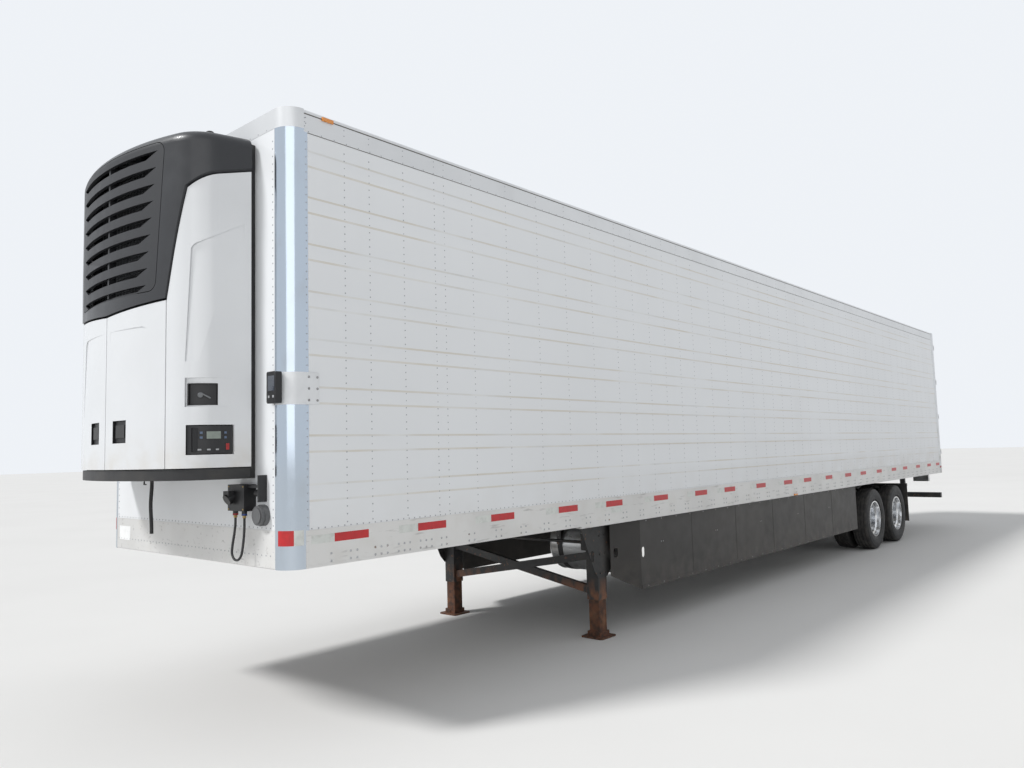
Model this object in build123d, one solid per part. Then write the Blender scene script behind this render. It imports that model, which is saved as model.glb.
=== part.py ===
"""Refrigerated semi trailer, parked on its landing legs: insulated box body, nose-mounted
cooling unit, sliding tandem bogie, rear swing doors. Millimetres, +X forward, +Y to the
trailer's left, +Z up from the ground; the origin is under the middle of the whole trailer."""

from build123d import *
import os
from math import asin, cos, degrees, radians, sin, sqrt, tan

# Overall sizes
body_length = 16154
body_width = 2600
roof_z = 4115
tyre_radius = 508
unit_reach = 580
half_width = body_width / 2
nose_x = (body_length - unit_reach) / 2

# Heights of the deck, which rides a set height over the tyres
tyre_headroom = 93
rail_step = 18
rail_height = 238
floor_lift = 5
floor_depth = 145
floor_rib_height = 32
rear_rail_bottom_z = 2 * tyre_radius + tyre_headroom
rail_bottom_z = rear_rail_bottom_z + rail_step
rail_top_z = rail_bottom_z + rail_height
floor_top_z = rail_top_z + floor_lift
floor_bottom_z = floor_top_z - floor_depth

# Depths of what closes the top
top_rail_height = 155
roof_depth = 85
nose_cap_height = 135
top_rail_bottom_z = roof_z - top_rail_height
ceiling_z = roof_z - roof_depth
nose_cap_bottom_z = roof_z - nose_cap_height

# Walls
side_wall = 63
skin_inset = 3
corner_radius = 135
rail_web = 8
rail_shelf = 8
scuff_height = 300
scuff_thickness = 4
wall_inner_y = half_width - skin_inset - side_wall
rail_shelf_inner_y = half_width - 90

# Rear frame, doors and their hinges
hinge_stand_off = 62
hinge_knuckle_radius = 14
hinge_pin_radius = 7
hinge_pin_y = half_width - hinge_knuckle_radius
pin_clearance = 0.3
knuckle_gap = 1.5
rear_frame_depth = 150
rear_post_width = 85
header_height = 130
door_thickness = 90
door_gap = 7
door_sill_gap = 8
door_edge_bevel = 18
frame_setback = body_length - hinge_stand_off - hinge_knuckle_radius
door_opening_top_z = roof_z - header_height
opening_half = half_width - rear_post_width

# Landing gear
leg_setback = 3680
leg_y = half_width - 303
leg_outer_side = 140
leg_inner_side = 122
leg_outer_bottom_z = 360
leg_slide_gap = 1
foot_side = 254
foot_corner = 26
foot_thickness = 14

# Running gear
rear_axle_from_end = 3404
axle_spacing = 1250
rear_axle_setback = body_length - rear_axle_from_end
axle_setbacks = {"front": rear_axle_setback - axle_spacing, "rear": rear_axle_setback}
tyre_half_width = 143
tyre_inset = 5
dual_spacing = 336
rim_radius = 285.75
outer_tyre_y = half_width - tyre_inset - tyre_half_width
inner_tyre_y = outer_tyre_y - dual_spacing
disc_y = (outer_tyre_y + inner_tyre_y) / 2
axle_z = tyre_radius
axle_beam_radius = 63.5
drum_radius = 222
bogie_rail_y = half_width - 780

# Kingpin and its plate, to the common 2 inch standard
kingpin_setback = 914
kingpin_collar_radius = 36.5
kingpin_collar_length = 35
kingpin_neck_radius = 25.4
kingpin_neck_length = 35
kingpin_flange_radius = 35.7
kingpin_flange_length = 14
kingpin_seat_radius = 60
kingpin_hole_gap = 0.5
coupler_length = 1330
coupler_plate = 10
coupler_drop = 10
coupler_half_width = half_width - 150
coupler_face_z = rail_bottom_z - coupler_drop

# Cross members
member_pitch = 305
member_height = 100
member_flange = 57
member_flange_thick = 9
member_web = 6
member_half_length = half_width - 64
first_member_setback = 1480
subpan_thickness = 8
subpan_bottom_z = floor_bottom_z - subpan_thickness
member_bottom_z = subpan_bottom_z - member_height

# Cooling unit on the nose
unit_bow_radius = 2300
unit_rear_offset = 45
unit_rear_half = half_width - 330
unit_bow_half = unit_rear_half - 250
unit_side_angle = 76
unit_bottom_z = 1770
unit_tray_depth = 70
unit_top_z = roof_z - 145
unit_top_round = 85
unit_skin = 25
unit_gap = 8
unit_seam_y = unit_bow_half - 56
cover_inset = 10
shroud_gap = 12
shroud_edge_side_y = unit_rear_half - 168
shroud_edge_centre_z = unit_bottom_z + 1048
shroud_edge_seam_z = unit_bottom_z + 1090
shroud_edge_side_z = unit_top_z - 389
shroud_edge_rear_z = unit_top_z - 225
unit_tray_z = unit_bottom_z - unit_tray_depth

os.makedirs("parts", exist_ok=True)


def aft(distance):
    """The X of a place this far behind the nose."""
    return nose_x - distance


def slab(x, y, z):
    """A block between two values along each axis."""
    spans = [sorted(ends) for ends in (x, y, z)]
    size = [high - low for low, high in spans]
    middle = [(high + low) / 2 for low, high in spans]
    return Pos(*middle) * Box(*size)


def along_x(outline, x_from, x_to):
    """A closed outline of (y, z) points drawn out between two X values."""
    low, high = sorted((x_from, x_to))
    face = make_face(Polyline(*outline, close=True))
    return extrude(Plane.YZ.offset(low) * face, amount=high - low)


def along_y(outline, y_from, y_to):
    """A closed outline of (x, z) points drawn out between two Y values."""
    low, high = sorted((y_from, y_to))
    face = make_face(Polyline(*outline, close=True))
    return extrude(Plane.XZ.offset(-high) * face, amount=high - low)


def along_z(outline, z_from, z_to):
    """A closed outline of (x, y) points drawn out between two Z values."""
    low, high = sorted((z_from, z_to))
    face = make_face(Polyline(*outline, close=True))
    return extrude(Plane.XY.offset(low) * face, amount=high - low)


def rod(start, end, radius):
    """A round bar between two points."""
    path = Vector(*end) - Vector(*start)
    return extrude(Plane(origin=start, z_dir=path) * Circle(radius), amount=path.length)


def bar(start, end, width, height, across=(0, 1, 0)):
    """A rectangular bar between two points, its width measured along `across`."""
    path = Vector(*end) - Vector(*start)
    plane = Plane(origin=start, x_dir=across, z_dir=path)
    return extrude(plane * Rectangle(width, height), amount=path.length)


def oval_hole(x, y, z, width, height, depth=60):
    """A cutter along Y for an upright slot with round ends."""
    upright = Plane(origin=(x, y + depth / 2, z), x_dir=(0, 0, 1), z_dir=(0, -1, 0))
    return extrude(upright * SlotOverall(height, width), amount=depth)


def turned_about_y(profile, x, z):
    """Lines, or (y, radius) points, revolved about the Y line through (x, z)."""
    plane = Plane(origin=(x, 0, z), x_dir=(0, 1, 0), z_dir=(1, 0, 0))
    outline = Polyline(*profile, close=True) if isinstance(profile, list) else profile
    return revolve(plane * make_face(outline), axis=Axis((x, 0, z), (0, 1, 0)))


def turned_about_z(profile, x, y):
    """A profile of (radius, z) points revolved about the vertical through (x, y)."""
    plane = Plane(origin=(x, y, 0), x_dir=(1, 0, 0), z_dir=(0, -1, 0))
    face = make_face(Polyline(*profile, close=True))
    return revolve(plane * face, axis=Axis((x, y, 0), (0, 0, 1)))


def pair(piece):
    """A left-hand piece and its right-hand mirror image."""
    return [piece, mirror(piece, about=Plane.XZ)]


def save(node, *pieces):
    """Writes the solids of one named sub-part."""
    solids = [solid for piece in pieces for solid in piece.solids()]
    whole = solids[0] if len(solids) == 1 else Compound(children=solids)
    export_step(whole, f"parts/{node}.step")


# Box body: walls of insulated panel between the nose and the rear frame, scuff plates inside
rear_frame_front_x = aft(frame_setback - rear_frame_depth)
left_wall = slab(
    (aft(corner_radius), rear_frame_front_x),
    (wall_inner_y, half_width - skin_inset),
    (rail_top_z, top_rail_bottom_z),
)
scuff_bottom_z = floor_top_z + 1
left_wall += slab(
    (aft(corner_radius), rear_frame_front_x),
    (wall_inner_y - scuff_thickness, wall_inner_y),
    (scuff_bottom_z, scuff_bottom_z + scuff_height),
)
save("side_wall_left", left_wall)
save("side_wall_right", mirror(left_wall, about=Plane.XZ))

nose_panel_half = half_width - corner_radius
nose_lip = 6
save(
    "front_wall",
    slab(
        (aft(corner_radius), aft(skin_inset)),
        (-nose_panel_half, nose_panel_half),
        (floor_top_z, nose_cap_bottom_z),
    ),
)
nose_rail_outline = [
    (aft(corner_radius), rail_bottom_z),
    (aft(nose_lip), rail_bottom_z),
    (aft(0), rail_bottom_z + nose_lip),
    (aft(0), floor_top_z),
    (aft(corner_radius), floor_top_z),
]
save("nose_bottom_rail", along_y(nose_rail_outline, -nose_panel_half, nose_panel_half))

# Polished corner posts: a quarter round with a flat trim strip on its rear edge
trim_width = 26
trim_thickness = 3
corner_quarter = Pos(aft(corner_radius), nose_panel_half, rail_bottom_z) * Cylinder(
    corner_radius,
    nose_cap_bottom_z - rail_bottom_z,
    arc_size=90,
    align=(Align.NONE, Align.NONE, Align.MIN),
)
trim_strip = slab(
    (aft(corner_radius + trim_width), aft(corner_radius)),
    (half_width - skin_inset, half_width - skin_inset + trim_thickness),
    (rail_top_z, top_rail_bottom_z),
)
save("corner_posts", *pair(corner_quarter + trim_strip))

cap_outline = [
    (aft(corner_radius), -half_width),
    (aft(corner_radius), half_width),
    (aft(0), half_width),
    (aft(0), -half_width),
]
cap = along_z(cap_outline, nose_cap_bottom_z, roof_z)
front_corners = cap.edges().filter_by(Axis.Z).group_by(Axis.X)[-1]
cap = fillet(front_corners, corner_radius - 1)
save("nose_top_rail", cap)

# Top rails: a hollow-backed extrusion with a thin lip along its top and bottom edges
rail_lip = 2
lip_height = 14
top_rail_bevel = 12
top_rail = along_x(
    [
        (half_width, top_rail_bottom_z),
        (half_width, top_rail_bottom_z + lip_height),
        (half_width - rail_lip, top_rail_bottom_z + lip_height),
        (half_width - rail_lip, roof_z - top_rail_bevel - lip_height),
        (half_width, roof_z - top_rail_bevel - lip_height),
        (half_width, roof_z - top_rail_bevel),
        (half_width - top_rail_bevel, roof_z),
        (wall_inner_y, roof_z),
        (wall_inner_y, top_rail_bottom_z),
    ],
    aft(corner_radius),
    rear_frame_front_x,
)
save("top_rails", *pair(top_rail))

roof_drop = 4
save(
    "roof",
    slab(
        (aft(corner_radius), rear_frame_front_x),
        (-wall_inner_y, wall_inner_y),
        (ceiling_z, roof_z - roof_drop),
    ),
)

# Bottom rails: an extruded section with shelves that carry the wall and the floor
rail_step_setback = 3050
rub_height = 16
rub_depth = 2


def bottom_rail_section(low_z):
    """The left rail's (y, z) outline: web with rub strips, wall and floor shelves, bottom flange."""
    web_inner = half_width - rail_web
    flange_inner = member_half_length + 4
    return [
        (half_width, low_z),
        (half_width, low_z + rub_height),
        (half_width - rub_depth, low_z + rub_height),
        (half_width - rub_depth, rail_top_z - rub_height),
        (half_width, rail_top_z - rub_height),
        (half_width, rail_top_z),
        (wall_inner_y, rail_top_z),
        (wall_inner_y, rail_top_z - rail_shelf),
        (web_inner, rail_top_z - rail_shelf),
        (web_inner, floor_bottom_z),
        (rail_shelf_inner_y, floor_bottom_z),
        (rail_shelf_inner_y, floor_bottom_z - rail_shelf),
        (web_inner, floor_bottom_z - rail_shelf),
        (web_inner, low_z + rail_shelf),
        (flange_inner, low_z + rail_shelf),
        (flange_inner, low_z),
    ]


front_rail = along_x(bottom_rail_section(rail_bottom_z), aft(corner_radius), aft(rail_step_setback))
rear_rail_span = (aft(rail_step_setback), rear_frame_front_x)
rear_rail = along_x(bottom_rail_section(rear_rail_bottom_z), *rear_rail_span)
save("bottom_rails", *pair(front_rail + rear_rail))

# Duct floor: a flat base under a row of ribs that let cold air pass beneath the load
rib_pitch = 64
rib_width = 26
floor_half = wall_inner_y - 0.5
floor_base_z = floor_top_z - floor_rib_height
rib_reach = int((floor_half - rib_pitch / 2) // rib_pitch)
floor_outline = [(-floor_half, floor_bottom_z), (-floor_half, floor_base_z)]
for index in range(-rib_reach, rib_reach + 1):
    rib_y = index * rib_pitch
    floor_outline += [
        (rib_y - rib_width / 2, floor_base_z),
        (rib_y - rib_width / 2, floor_top_z),
        (rib_y + rib_width / 2, floor_top_z),
        (rib_y + rib_width / 2, floor_base_z),
    ]
floor_outline += [(floor_half, floor_base_z), (floor_half, floor_bottom_z)]
save("floor", along_x(floor_outline, aft(corner_radius), rear_frame_front_x))

# Cross members: I-beams hung under one subpan
subpan_half = rail_shelf_inner_y - 4
subpan_front_setback = coupler_length + 20
subpan = slab(
    (aft(subpan_front_setback), rear_frame_front_x),
    (-subpan_half, subpan_half),
    (subpan_bottom_z, floor_bottom_z),
)
member_count = int((frame_setback - rear_frame_depth - first_member_setback) // member_pitch)
members = []
for index in range(member_count):
    x = aft(first_member_setback + index * member_pitch)
    half_flange = member_flange / 2
    half_web = member_web / 2
    section = [
        (x - half_flange, member_bottom_z),
        (x + half_flange, member_bottom_z),
        (x + half_flange, member_bottom_z + member_flange_thick),
        (x + half_web, member_bottom_z + member_flange_thick),
        (x + half_web, subpan_bottom_z),
        (x - half_web, subpan_bottom_z),
        (x - half_web, member_bottom_z + member_flange_thick),
        (x - half_flange, member_bottom_z + member_flange_thick),
    ]
    members.append(along_y(section, -member_half_length, member_half_length))
save("cross_members", subpan.fuse(*members))

# Upper coupler: plate with a bevelled lead-in, stiffeners above it, and the kingpin
plate_top_z = coupler_face_z + coupler_plate
lead_in_length = 45
stiffener = 12
stiffener_pitch = 300
coupler_outline = [
    (aft(60), coupler_face_z + coupler_plate - 2),
    (aft(60 + lead_in_length), coupler_face_z),
    (aft(coupler_length), coupler_face_z),
    (aft(coupler_length), plate_top_z),
    (aft(60), plate_top_z),
]
coupler = along_y(coupler_outline, -coupler_half_width, coupler_half_width)
stiffener_span = (aft(corner_radius + 6), aft(coupler_length))
for index in range(-3, 4):
    if index:
        y = index * stiffener_pitch
        coupler += slab(stiffener_span, (y - 6, y + 6), (plate_top_z, floor_bottom_z))
for setback in (150, 500, kingpin_setback - 150, kingpin_setback + 150, coupler_length - stiffener):
    coupler += slab(
        (aft(setback), aft(setback + stiffener)),
        (-coupler_half_width, coupler_half_width),
        (plate_top_z, floor_bottom_z),
    )
kingpin_x = aft(kingpin_setback)
kingpin_root_radius = kingpin_collar_radius - 1
coupler -= Pos(kingpin_x, 0, coupler_face_z - 1) * Cylinder(
    kingpin_collar_radius + kingpin_hole_gap,
    coupler_plate + 2,
    align=(Align.CENTER, Align.CENTER, Align.MIN),
)
save("upper_coupler", coupler)

collar_bottom_z = coupler_face_z - kingpin_collar_length
neck_bottom_z = collar_bottom_z - kingpin_neck_length
pin_bottom_z = neck_bottom_z - kingpin_flange_length
kingpin_profile = [
    (0, pin_bottom_z),
    (kingpin_flange_radius - 5, pin_bottom_z),
    (kingpin_flange_radius, pin_bottom_z + 5),
    (kingpin_flange_radius, neck_bottom_z),
    (kingpin_neck_radius, neck_bottom_z),
    (kingpin_neck_radius, collar_bottom_z),
    (kingpin_collar_radius, collar_bottom_z),
    (kingpin_collar_radius, coupler_face_z),
    (kingpin_root_radius, coupler_face_z),
    (kingpin_root_radius, plate_top_z),
    (kingpin_seat_radius, plate_top_z),
    (kingpin_seat_radius, plate_top_z + 20),
    (0, plate_top_z + 20),
]
save("kingpin", turned_about_z(kingpin_profile, kingpin_x, 0))

# Landing gear: square legs with gearboxes, and wing plates with an oval hole each
leg_x = aft(leg_setback)
half_leg = leg_outer_side / 2
leg_top_z = member_bottom_z
leg_span_x = (leg_x - half_leg, leg_x + half_leg)
leg_tube = slab(leg_span_x, (leg_y - half_leg, leg_y + half_leg), (leg_outer_bottom_z, leg_top_z))
inner_half = leg_inner_side / 2
leg_bore_cap = 20
leg_tube -= slab(
    (leg_x - inner_half, leg_x + inner_half),
    (leg_y - inner_half, leg_y + inner_half),
    (leg_outer_bottom_z - 1, leg_top_z - leg_bore_cap),
)
gearbox_depth = 70
gearbox_z = (leg_top_z - 290, leg_top_z - 130)
leg_tube += slab(
    (leg_x - 55, leg_x + 55), (leg_y - half_leg - gearbox_depth, leg_y - half_leg), gearbox_z
)
gusset_thickness = 8
gusset_half_top = 340
gusset_outline = [
    (leg_x + gusset_half_top, leg_top_z),
    (leg_x + gusset_half_top - 10, leg_top_z - 67),
    (leg_x + 140, leg_top_z - 467),
    (leg_x + 75, leg_top_z - 537),
    (leg_x - 75, leg_top_z - 537),
    (leg_x - 140, leg_top_z - 467),
    (leg_x - gusset_half_top + 10, leg_top_z - 67),
    (leg_x - gusset_half_top, leg_top_z),
]
gusset_y = leg_y + half_leg
gusset = along_y(gusset_outline, gusset_y, gusset_y + gusset_thickness)
for hole_x in (leg_x + 165, leg_x - 165):
    gusset -= oval_hole(hole_x, gusset_y, leg_top_z - 325, 52, 104)
mount_plate = slab(
    (leg_x - gusset_half_top, leg_x + gusset_half_top),
    (leg_y - half_leg, gusset_y + gusset_thickness),
    (leg_top_z - 8, leg_top_z),
)
save("landing_legs", *pair(leg_tube + gusset + mount_plate))

inner_tube_half = inner_half - leg_slide_gap
leg_foot = slab(
    (leg_x - inner_tube_half, leg_x + inner_tube_half),
    (leg_y - inner_tube_half, leg_y + inner_tube_half),
    (foot_thickness, leg_top_z - 120),
)
leg_foot += slab(
    (leg_x - inner_half, leg_x + inner_half),
    (leg_y - inner_half, leg_y + inner_half),
    (leg_outer_bottom_z + 30, leg_outer_bottom_z + 90),
)
foot_edges = RectangleRounded(foot_side, foot_side, foot_corner)
foot_plate = extrude(Pos(leg_x, leg_y, 0) * foot_edges, amount=foot_thickness)
socket_half = inner_tube_half + 16
foot_socket = slab(
    (leg_x - socket_half, leg_x + socket_half),
    (leg_y - socket_half, leg_y + socket_half),
    (foot_thickness, foot_thickness + 45),
)
save("landing_feet", *pair(leg_foot + foot_plate + foot_socket))

# Crossed braces between the legs
brace_y = leg_y - half_leg
brace_width = 50
brace_height = 76
brace_thickness = 8
brace_low_z = leg_outer_bottom_z + 90
brace_high_z = gearbox_z[0] - 50
brace_x = leg_x + 20
brace_overrun = 20
brace_rise = (brace_high_z - brace_low_z) / (2 * brace_y) * brace_overrun
braces = Part()
for side in (-1, 1):
    for x, width, height, lift in (
        (brace_x, brace_width, brace_thickness, (brace_height - brace_thickness) / 2),
        (brace_x + (brace_width - brace_thickness) / 2, brace_thickness, brace_height, 0),
    ):
        braces += bar(
            (x, -side * (brace_y + brace_overrun), brace_low_z - brace_rise + lift),
            (x, side * (brace_y + brace_overrun), brace_high_z + brace_rise + lift),
            width,
            height,
            (1, 0, 0),
        )
braces &= slab((leg_x - 200, leg_x + 200), (-brace_y, brace_y), (0, leg_top_z))
save("leg_braces", braces)

# Crank: cross shaft between the gearboxes and a folded handle on the right leg
crank_z = leg_top_z - 217
crank_half = brace_y - gearbox_depth
crank_shaft = rod((leg_x, -crank_half, crank_z), (leg_x, crank_half, crank_z), 16)
crank_start = -(gusset_y + gusset_thickness)
crank_fold_y = crank_start - 80
grip_x = leg_x + 320
grip_z = crank_z + 20
crank_arm = rod((leg_x, crank_start, crank_z), (leg_x, crank_fold_y - 10, crank_z), 14)
crank_arm += rod((leg_x, crank_fold_y, crank_z), (leg_x + 330, crank_fold_y, grip_z), 12)
crank_arm += rod((grip_x, crank_fold_y - 12, grip_z), (grip_x, crank_start + 60, grip_z), 12)
save("landing_crank", crank_shaft, crank_arm)

# Fuel tank of the cooling unit, slung across behind the legs, with its filler cap
tank_x = aft(4420)
tank_radius = 300
tank_length = 750
tank_headroom = 17
tank_end_round = 35
tank_z = member_bottom_z - tank_radius - tank_headroom
tank_ends = (half_width - 500 - tank_length, half_width - 500)
tank_middle_y = sum(tank_ends) / 2
tank = Pos(tank_x, tank_middle_y, tank_z) * Rot(90, 0, 0) * Cylinder(tank_radius, tank_length)
tank = fillet(tank.edges().filter_by(GeomType.CIRCLE), tank_end_round)
filler_y = tank_ends[1] - 70
filler_lean = 40
filler_out = Vector(sin(radians(filler_lean)), 0, cos(radians(filler_lean)))
filler_foot = Vector(tank_x, filler_y, tank_z) + filler_out * (tank_radius - 20)
filler_top = Vector(tank_x, filler_y, tank_z) + filler_out * (tank_radius + 45)
tank += rod(tuple(filler_foot), tuple(filler_top), 42)
save("fuel_tank", tank)

strap_half = 30
strap_thick = 5
strap_clearance = 0.3
hanger_reach = 20
strap_rail = 10
straps = []
for y in (tank_ends[0] + 160, tank_ends[1] - 160):
    band = turned_about_y(
        [
            (y - strap_half, tank_radius + strap_clearance),
            (y + strap_half, tank_radius + strap_clearance),
            (y + strap_half, tank_radius + strap_thick),
            (y - strap_half, tank_radius + strap_thick),
        ],
        tank_x,
        tank_z,
    )
    strap_span = (y - strap_half, y + strap_half)
    for side in (-1, 1):
        near_x = tank_x + side * tank_radius
        band += slab((near_x, near_x + side * hanger_reach), strap_span, (tank_z, member_bottom_z))
    rail_reach = tank_radius + hanger_reach
    rail_z = (member_bottom_z - strap_rail, member_bottom_z)
    band += slab((tank_x - rail_reach, tank_x + rail_reach), strap_span, rail_z)
    band -= Pos(tank_x, y, tank_z) * Rot(90, 0, 0) * Cylinder(tank_radius + strap_clearance, 200)
    straps.append(band)
save("fuel_tank_straps", *straps)

# Side skirts: flat panels on V struts, with a raked toe that runs in to the landing leg
skirt_y = half_width - 50
skirt_front = 4100
skirt_rear = axle_setbacks["front"] - 870
skirt_bottom_z = 415
skirt_thickness = 6
skirt_top_z = rear_rail_bottom_z
skirt_toe_setback = 3760
skirt_toe_y = skirt_y - 140
skirt_toe_low_z = 580
skirt_span_y = (skirt_y - skirt_thickness, skirt_y)
skirt = slab((aft(skirt_front), aft(skirt_rear)), skirt_span_y, (skirt_bottom_z, skirt_top_z))
toe_plan = [
    (aft(skirt_front), skirt_y - skirt_thickness),
    (aft(skirt_front), skirt_y),
    (aft(skirt_toe_setback), skirt_toe_y + skirt_thickness),
    (aft(skirt_toe_setback), skirt_toe_y),
]
toe = along_z(toe_plan, skirt_bottom_z, leg_top_z - 12)
toe -= along_y(
    [
        (aft(skirt_front), skirt_bottom_z - 1),
        (aft(skirt_toe_setback) + 1, skirt_bottom_z - 1),
        (aft(skirt_toe_setback) + 1, skirt_toe_low_z),
    ],
    skirt_toe_y - 10,
    skirt_y + 10,
)
toe -= oval_hole(aft(skirt_toe_setback + 60), skirt_toe_y + 20, leg_top_z - 318, 46, 92, 120)
skirt -= oval_hole(aft(skirt_front + 50), skirt_y, leg_top_z - 340, 52, 104)
skirt += toe
strut_pitch = 4 * member_pitch
strut_spread = member_pitch / 2
strut_radius = 11
first_strut = first_member_setback + strut_spread
while first_strut < skirt_front + 2 * strut_spread:
    first_strut += member_pitch
strut_foot_z = leg_top_z - 270
strut_foot_y = skirt_y - skirt_thickness - strut_radius
strut_top_y = skirt_y - 260
strut_count = int((skirt_rear - first_strut - strut_spread) // strut_pitch) + 1
strut_rise = (member_bottom_z - strut_foot_z) / (strut_foot_y - strut_top_y)
strut_overrun = 20
strut_zone_y = (strut_top_y - 100, strut_foot_y)
for index in range(strut_count):
    foot_x = aft(first_strut + index * strut_pitch)
    struts = Part()
    for side in (-1, 1):
        top_x = foot_x + side * strut_spread * (1 + strut_overrun / (strut_foot_y - strut_top_y))
        top = (top_x, strut_top_y - strut_overrun, member_bottom_z + strut_rise * strut_overrun)
        struts += rod((foot_x, strut_foot_y, strut_foot_z), top, strut_radius)
    skirt += struts & slab((foot_x - 400, foot_x + 400), strut_zone_y, (0, member_bottom_z))
    pad_x = (foot_x - 40, foot_x + 40)
    pad_y = (strut_foot_y, skirt_y - skirt_thickness)
    skirt += slab(pad_x, pad_y, (strut_foot_z - 30, strut_foot_z + 30))
save("side_skirts", *pair(skirt))

# Slide rails under the body, on which the bogie is pinned
slide_half = 50
slide_web = 8
slide_rail_bottom_z = floor_bottom_z - 190
bogie_front = axle_setbacks["front"] - 750
bogie_rear = axle_setbacks["rear"] + 810
slide_rail = along_x(
    [
        (bogie_rail_y + slide_half, slide_rail_bottom_z),
        (bogie_rail_y + slide_half, member_bottom_z),
        (bogie_rail_y - slide_half, member_bottom_z),
        (bogie_rail_y - slide_half, member_bottom_z - slide_web),
        (bogie_rail_y + slide_half - slide_web, member_bottom_z - slide_web),
        (bogie_rail_y + slide_half - slide_web, slide_rail_bottom_z),
    ],
    aft(bogie_front - 1050),
    aft(frame_setback - 178),
)
pin_hole_pitch = 150
pin_hole_radius = 20
pin_z = slide_rail_bottom_z + 40
pin_holes = []
rail_length = frame_setback - 178 - (bogie_front - 1050)
for index in range(1, int(rail_length // pin_hole_pitch)):
    hole_x = aft(bogie_front - 1050 + index * pin_hole_pitch)
    hole_ends = [(hole_x, bogie_rail_y + slide_half + past, pin_z) for past in (-2 * slide_web, 10)]
    pin_holes.append(rod(*hole_ends, pin_hole_radius))
slide_rail = slide_rail.cut(*pin_holes)
save("slide_rails", *pair(slide_rail))

# Bogie frame: side members, cross beams, hangers for the trailing arms, arms for the mud flaps
bogie_bottom_z = floor_bottom_z - 300
slide_gap = 2
member_outer_y = bogie_rail_y + slide_half - slide_web - slide_gap
side_member = slab(
    (aft(bogie_front), aft(bogie_rear)),
    (bogie_rail_y - slide_half, member_outer_y),
    (bogie_bottom_z, member_bottom_z - slide_web - slide_gap),
)
lock_pin_radius = pin_hole_radius - 1
for setback in (bogie_front + 150, bogie_rear - 160):
    holes_back = round((setback - bogie_front + 1050) / pin_hole_pitch)
    pin_x = aft(bogie_front - 1050 + holes_back * pin_hole_pitch)
    pin_end = bogie_rail_y + slide_half + 6
    side_member += rod((pin_x, member_outer_y - 5, pin_z), (pin_x, pin_end, pin_z), lock_pin_radius)
bogie = side_member + mirror(side_member, about=Plane.XZ)
beam_setbacks = (
    bogie_front + 60,
    axle_setbacks["front"] + 200,
    axle_setbacks["rear"] - 430,
    bogie_rear - 60,
)
for setback in beam_setbacks:
    bogie += slab(
        (aft(setback - 50), aft(setback + 50)),
        (-bogie_rail_y, bogie_rail_y),
        (bogie_bottom_z + 10, bogie_bottom_z + 90),
    )
pivot_ahead = 530
pivot_z = axle_z + 132
hanger_bottom_z = pivot_z - 50
hanger_plate = 8
pivot_bolt_radius = 16
arm_half = 34
arm_clearance = 2
arm_y = bogie_rail_y - 5
hanger_inner_ys = (arm_y - arm_half - arm_clearance - hanger_plate, arm_y + arm_half + arm_clearance)
for axle_setback in axle_setbacks.values():
    pivot_x = aft(axle_setback - pivot_ahead)
    hanger_outline = [
        (pivot_x - 60, hanger_bottom_z),
        (pivot_x + 60, hanger_bottom_z),
        (pivot_x + 110, bogie_bottom_z),
        (pivot_x - 110, bogie_bottom_z),
    ]
    for side in (-1, 1):
        for inner_y in hanger_inner_ys:
            plate = along_y(hanger_outline, side * inner_y, side * (inner_y + hanger_plate))
            hole_ends = (side * (inner_y - 5), side * (inner_y + hanger_plate + 5))
            hole_ends = [(pivot_x, y, pivot_z) for y in hole_ends]
            bogie += plate - rod(*hole_ends, pivot_bolt_radius + 0.5)
flap_x = aft(axle_setbacks["rear"] + 670)
flap_inner_y = inner_tyre_y - 126
flap_outer_y = half_width - 10
flap_thickness = 10
flap_arm_z = (bogie_bottom_z + 35, bogie_bottom_z + 85)
for side in (-1, 1):
    arm_span_y = (side * (member_outer_y - 5), side * flap_outer_y)
    bogie += slab((flap_x - 25, flap_x - flap_thickness / 2), arm_span_y, flap_arm_z)
save("bogie_frame", bogie)

# Trailing arms from the hangers over the axles back to the air springs
spring_seat_z = pivot_z - 60
spring_behind = 395
pivot_head_radius = 27
pivot_head_length = 14
arms = []
for axle_setback in axle_setbacks.values():
    axle_x = aft(axle_setback)
    arm_outline = [
        (axle_x + pivot_ahead + 45, pivot_z - 40),
        (axle_x + pivot_ahead + 45, pivot_z + 40),
        (axle_x + 60, pivot_z + 20),
        (axle_x - 120, pivot_z + 10),
        (axle_x - spring_behind + 105, spring_seat_z),
        (axle_x - spring_behind - 105, spring_seat_z),
        (axle_x - spring_behind - 105, spring_seat_z - 35),
        (axle_x - 200, pivot_z - 80),
        (axle_x - 100, axle_z + axle_beam_radius + 1),
        (axle_x + 100, axle_z + axle_beam_radius + 1),
    ]
    arm = along_y(arm_outline, arm_y - arm_half, arm_y + arm_half)
    pivot_x = axle_x + pivot_ahead
    head_inner = arm_half + arm_clearance + hanger_plate
    head_outer = head_inner + pivot_head_length
    for start, end, radius in (
        (-head_outer, head_outer, pivot_bolt_radius),
        (-head_outer, -head_inner, pivot_head_radius),
        (head_inner, head_outer, pivot_head_radius),
    ):
        arm += rod((pivot_x, arm_y + start, pivot_z), (pivot_x, arm_y + end, pivot_z), radius)
    arms += pair(arm)
save("trailing_arms", *arms)

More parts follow.
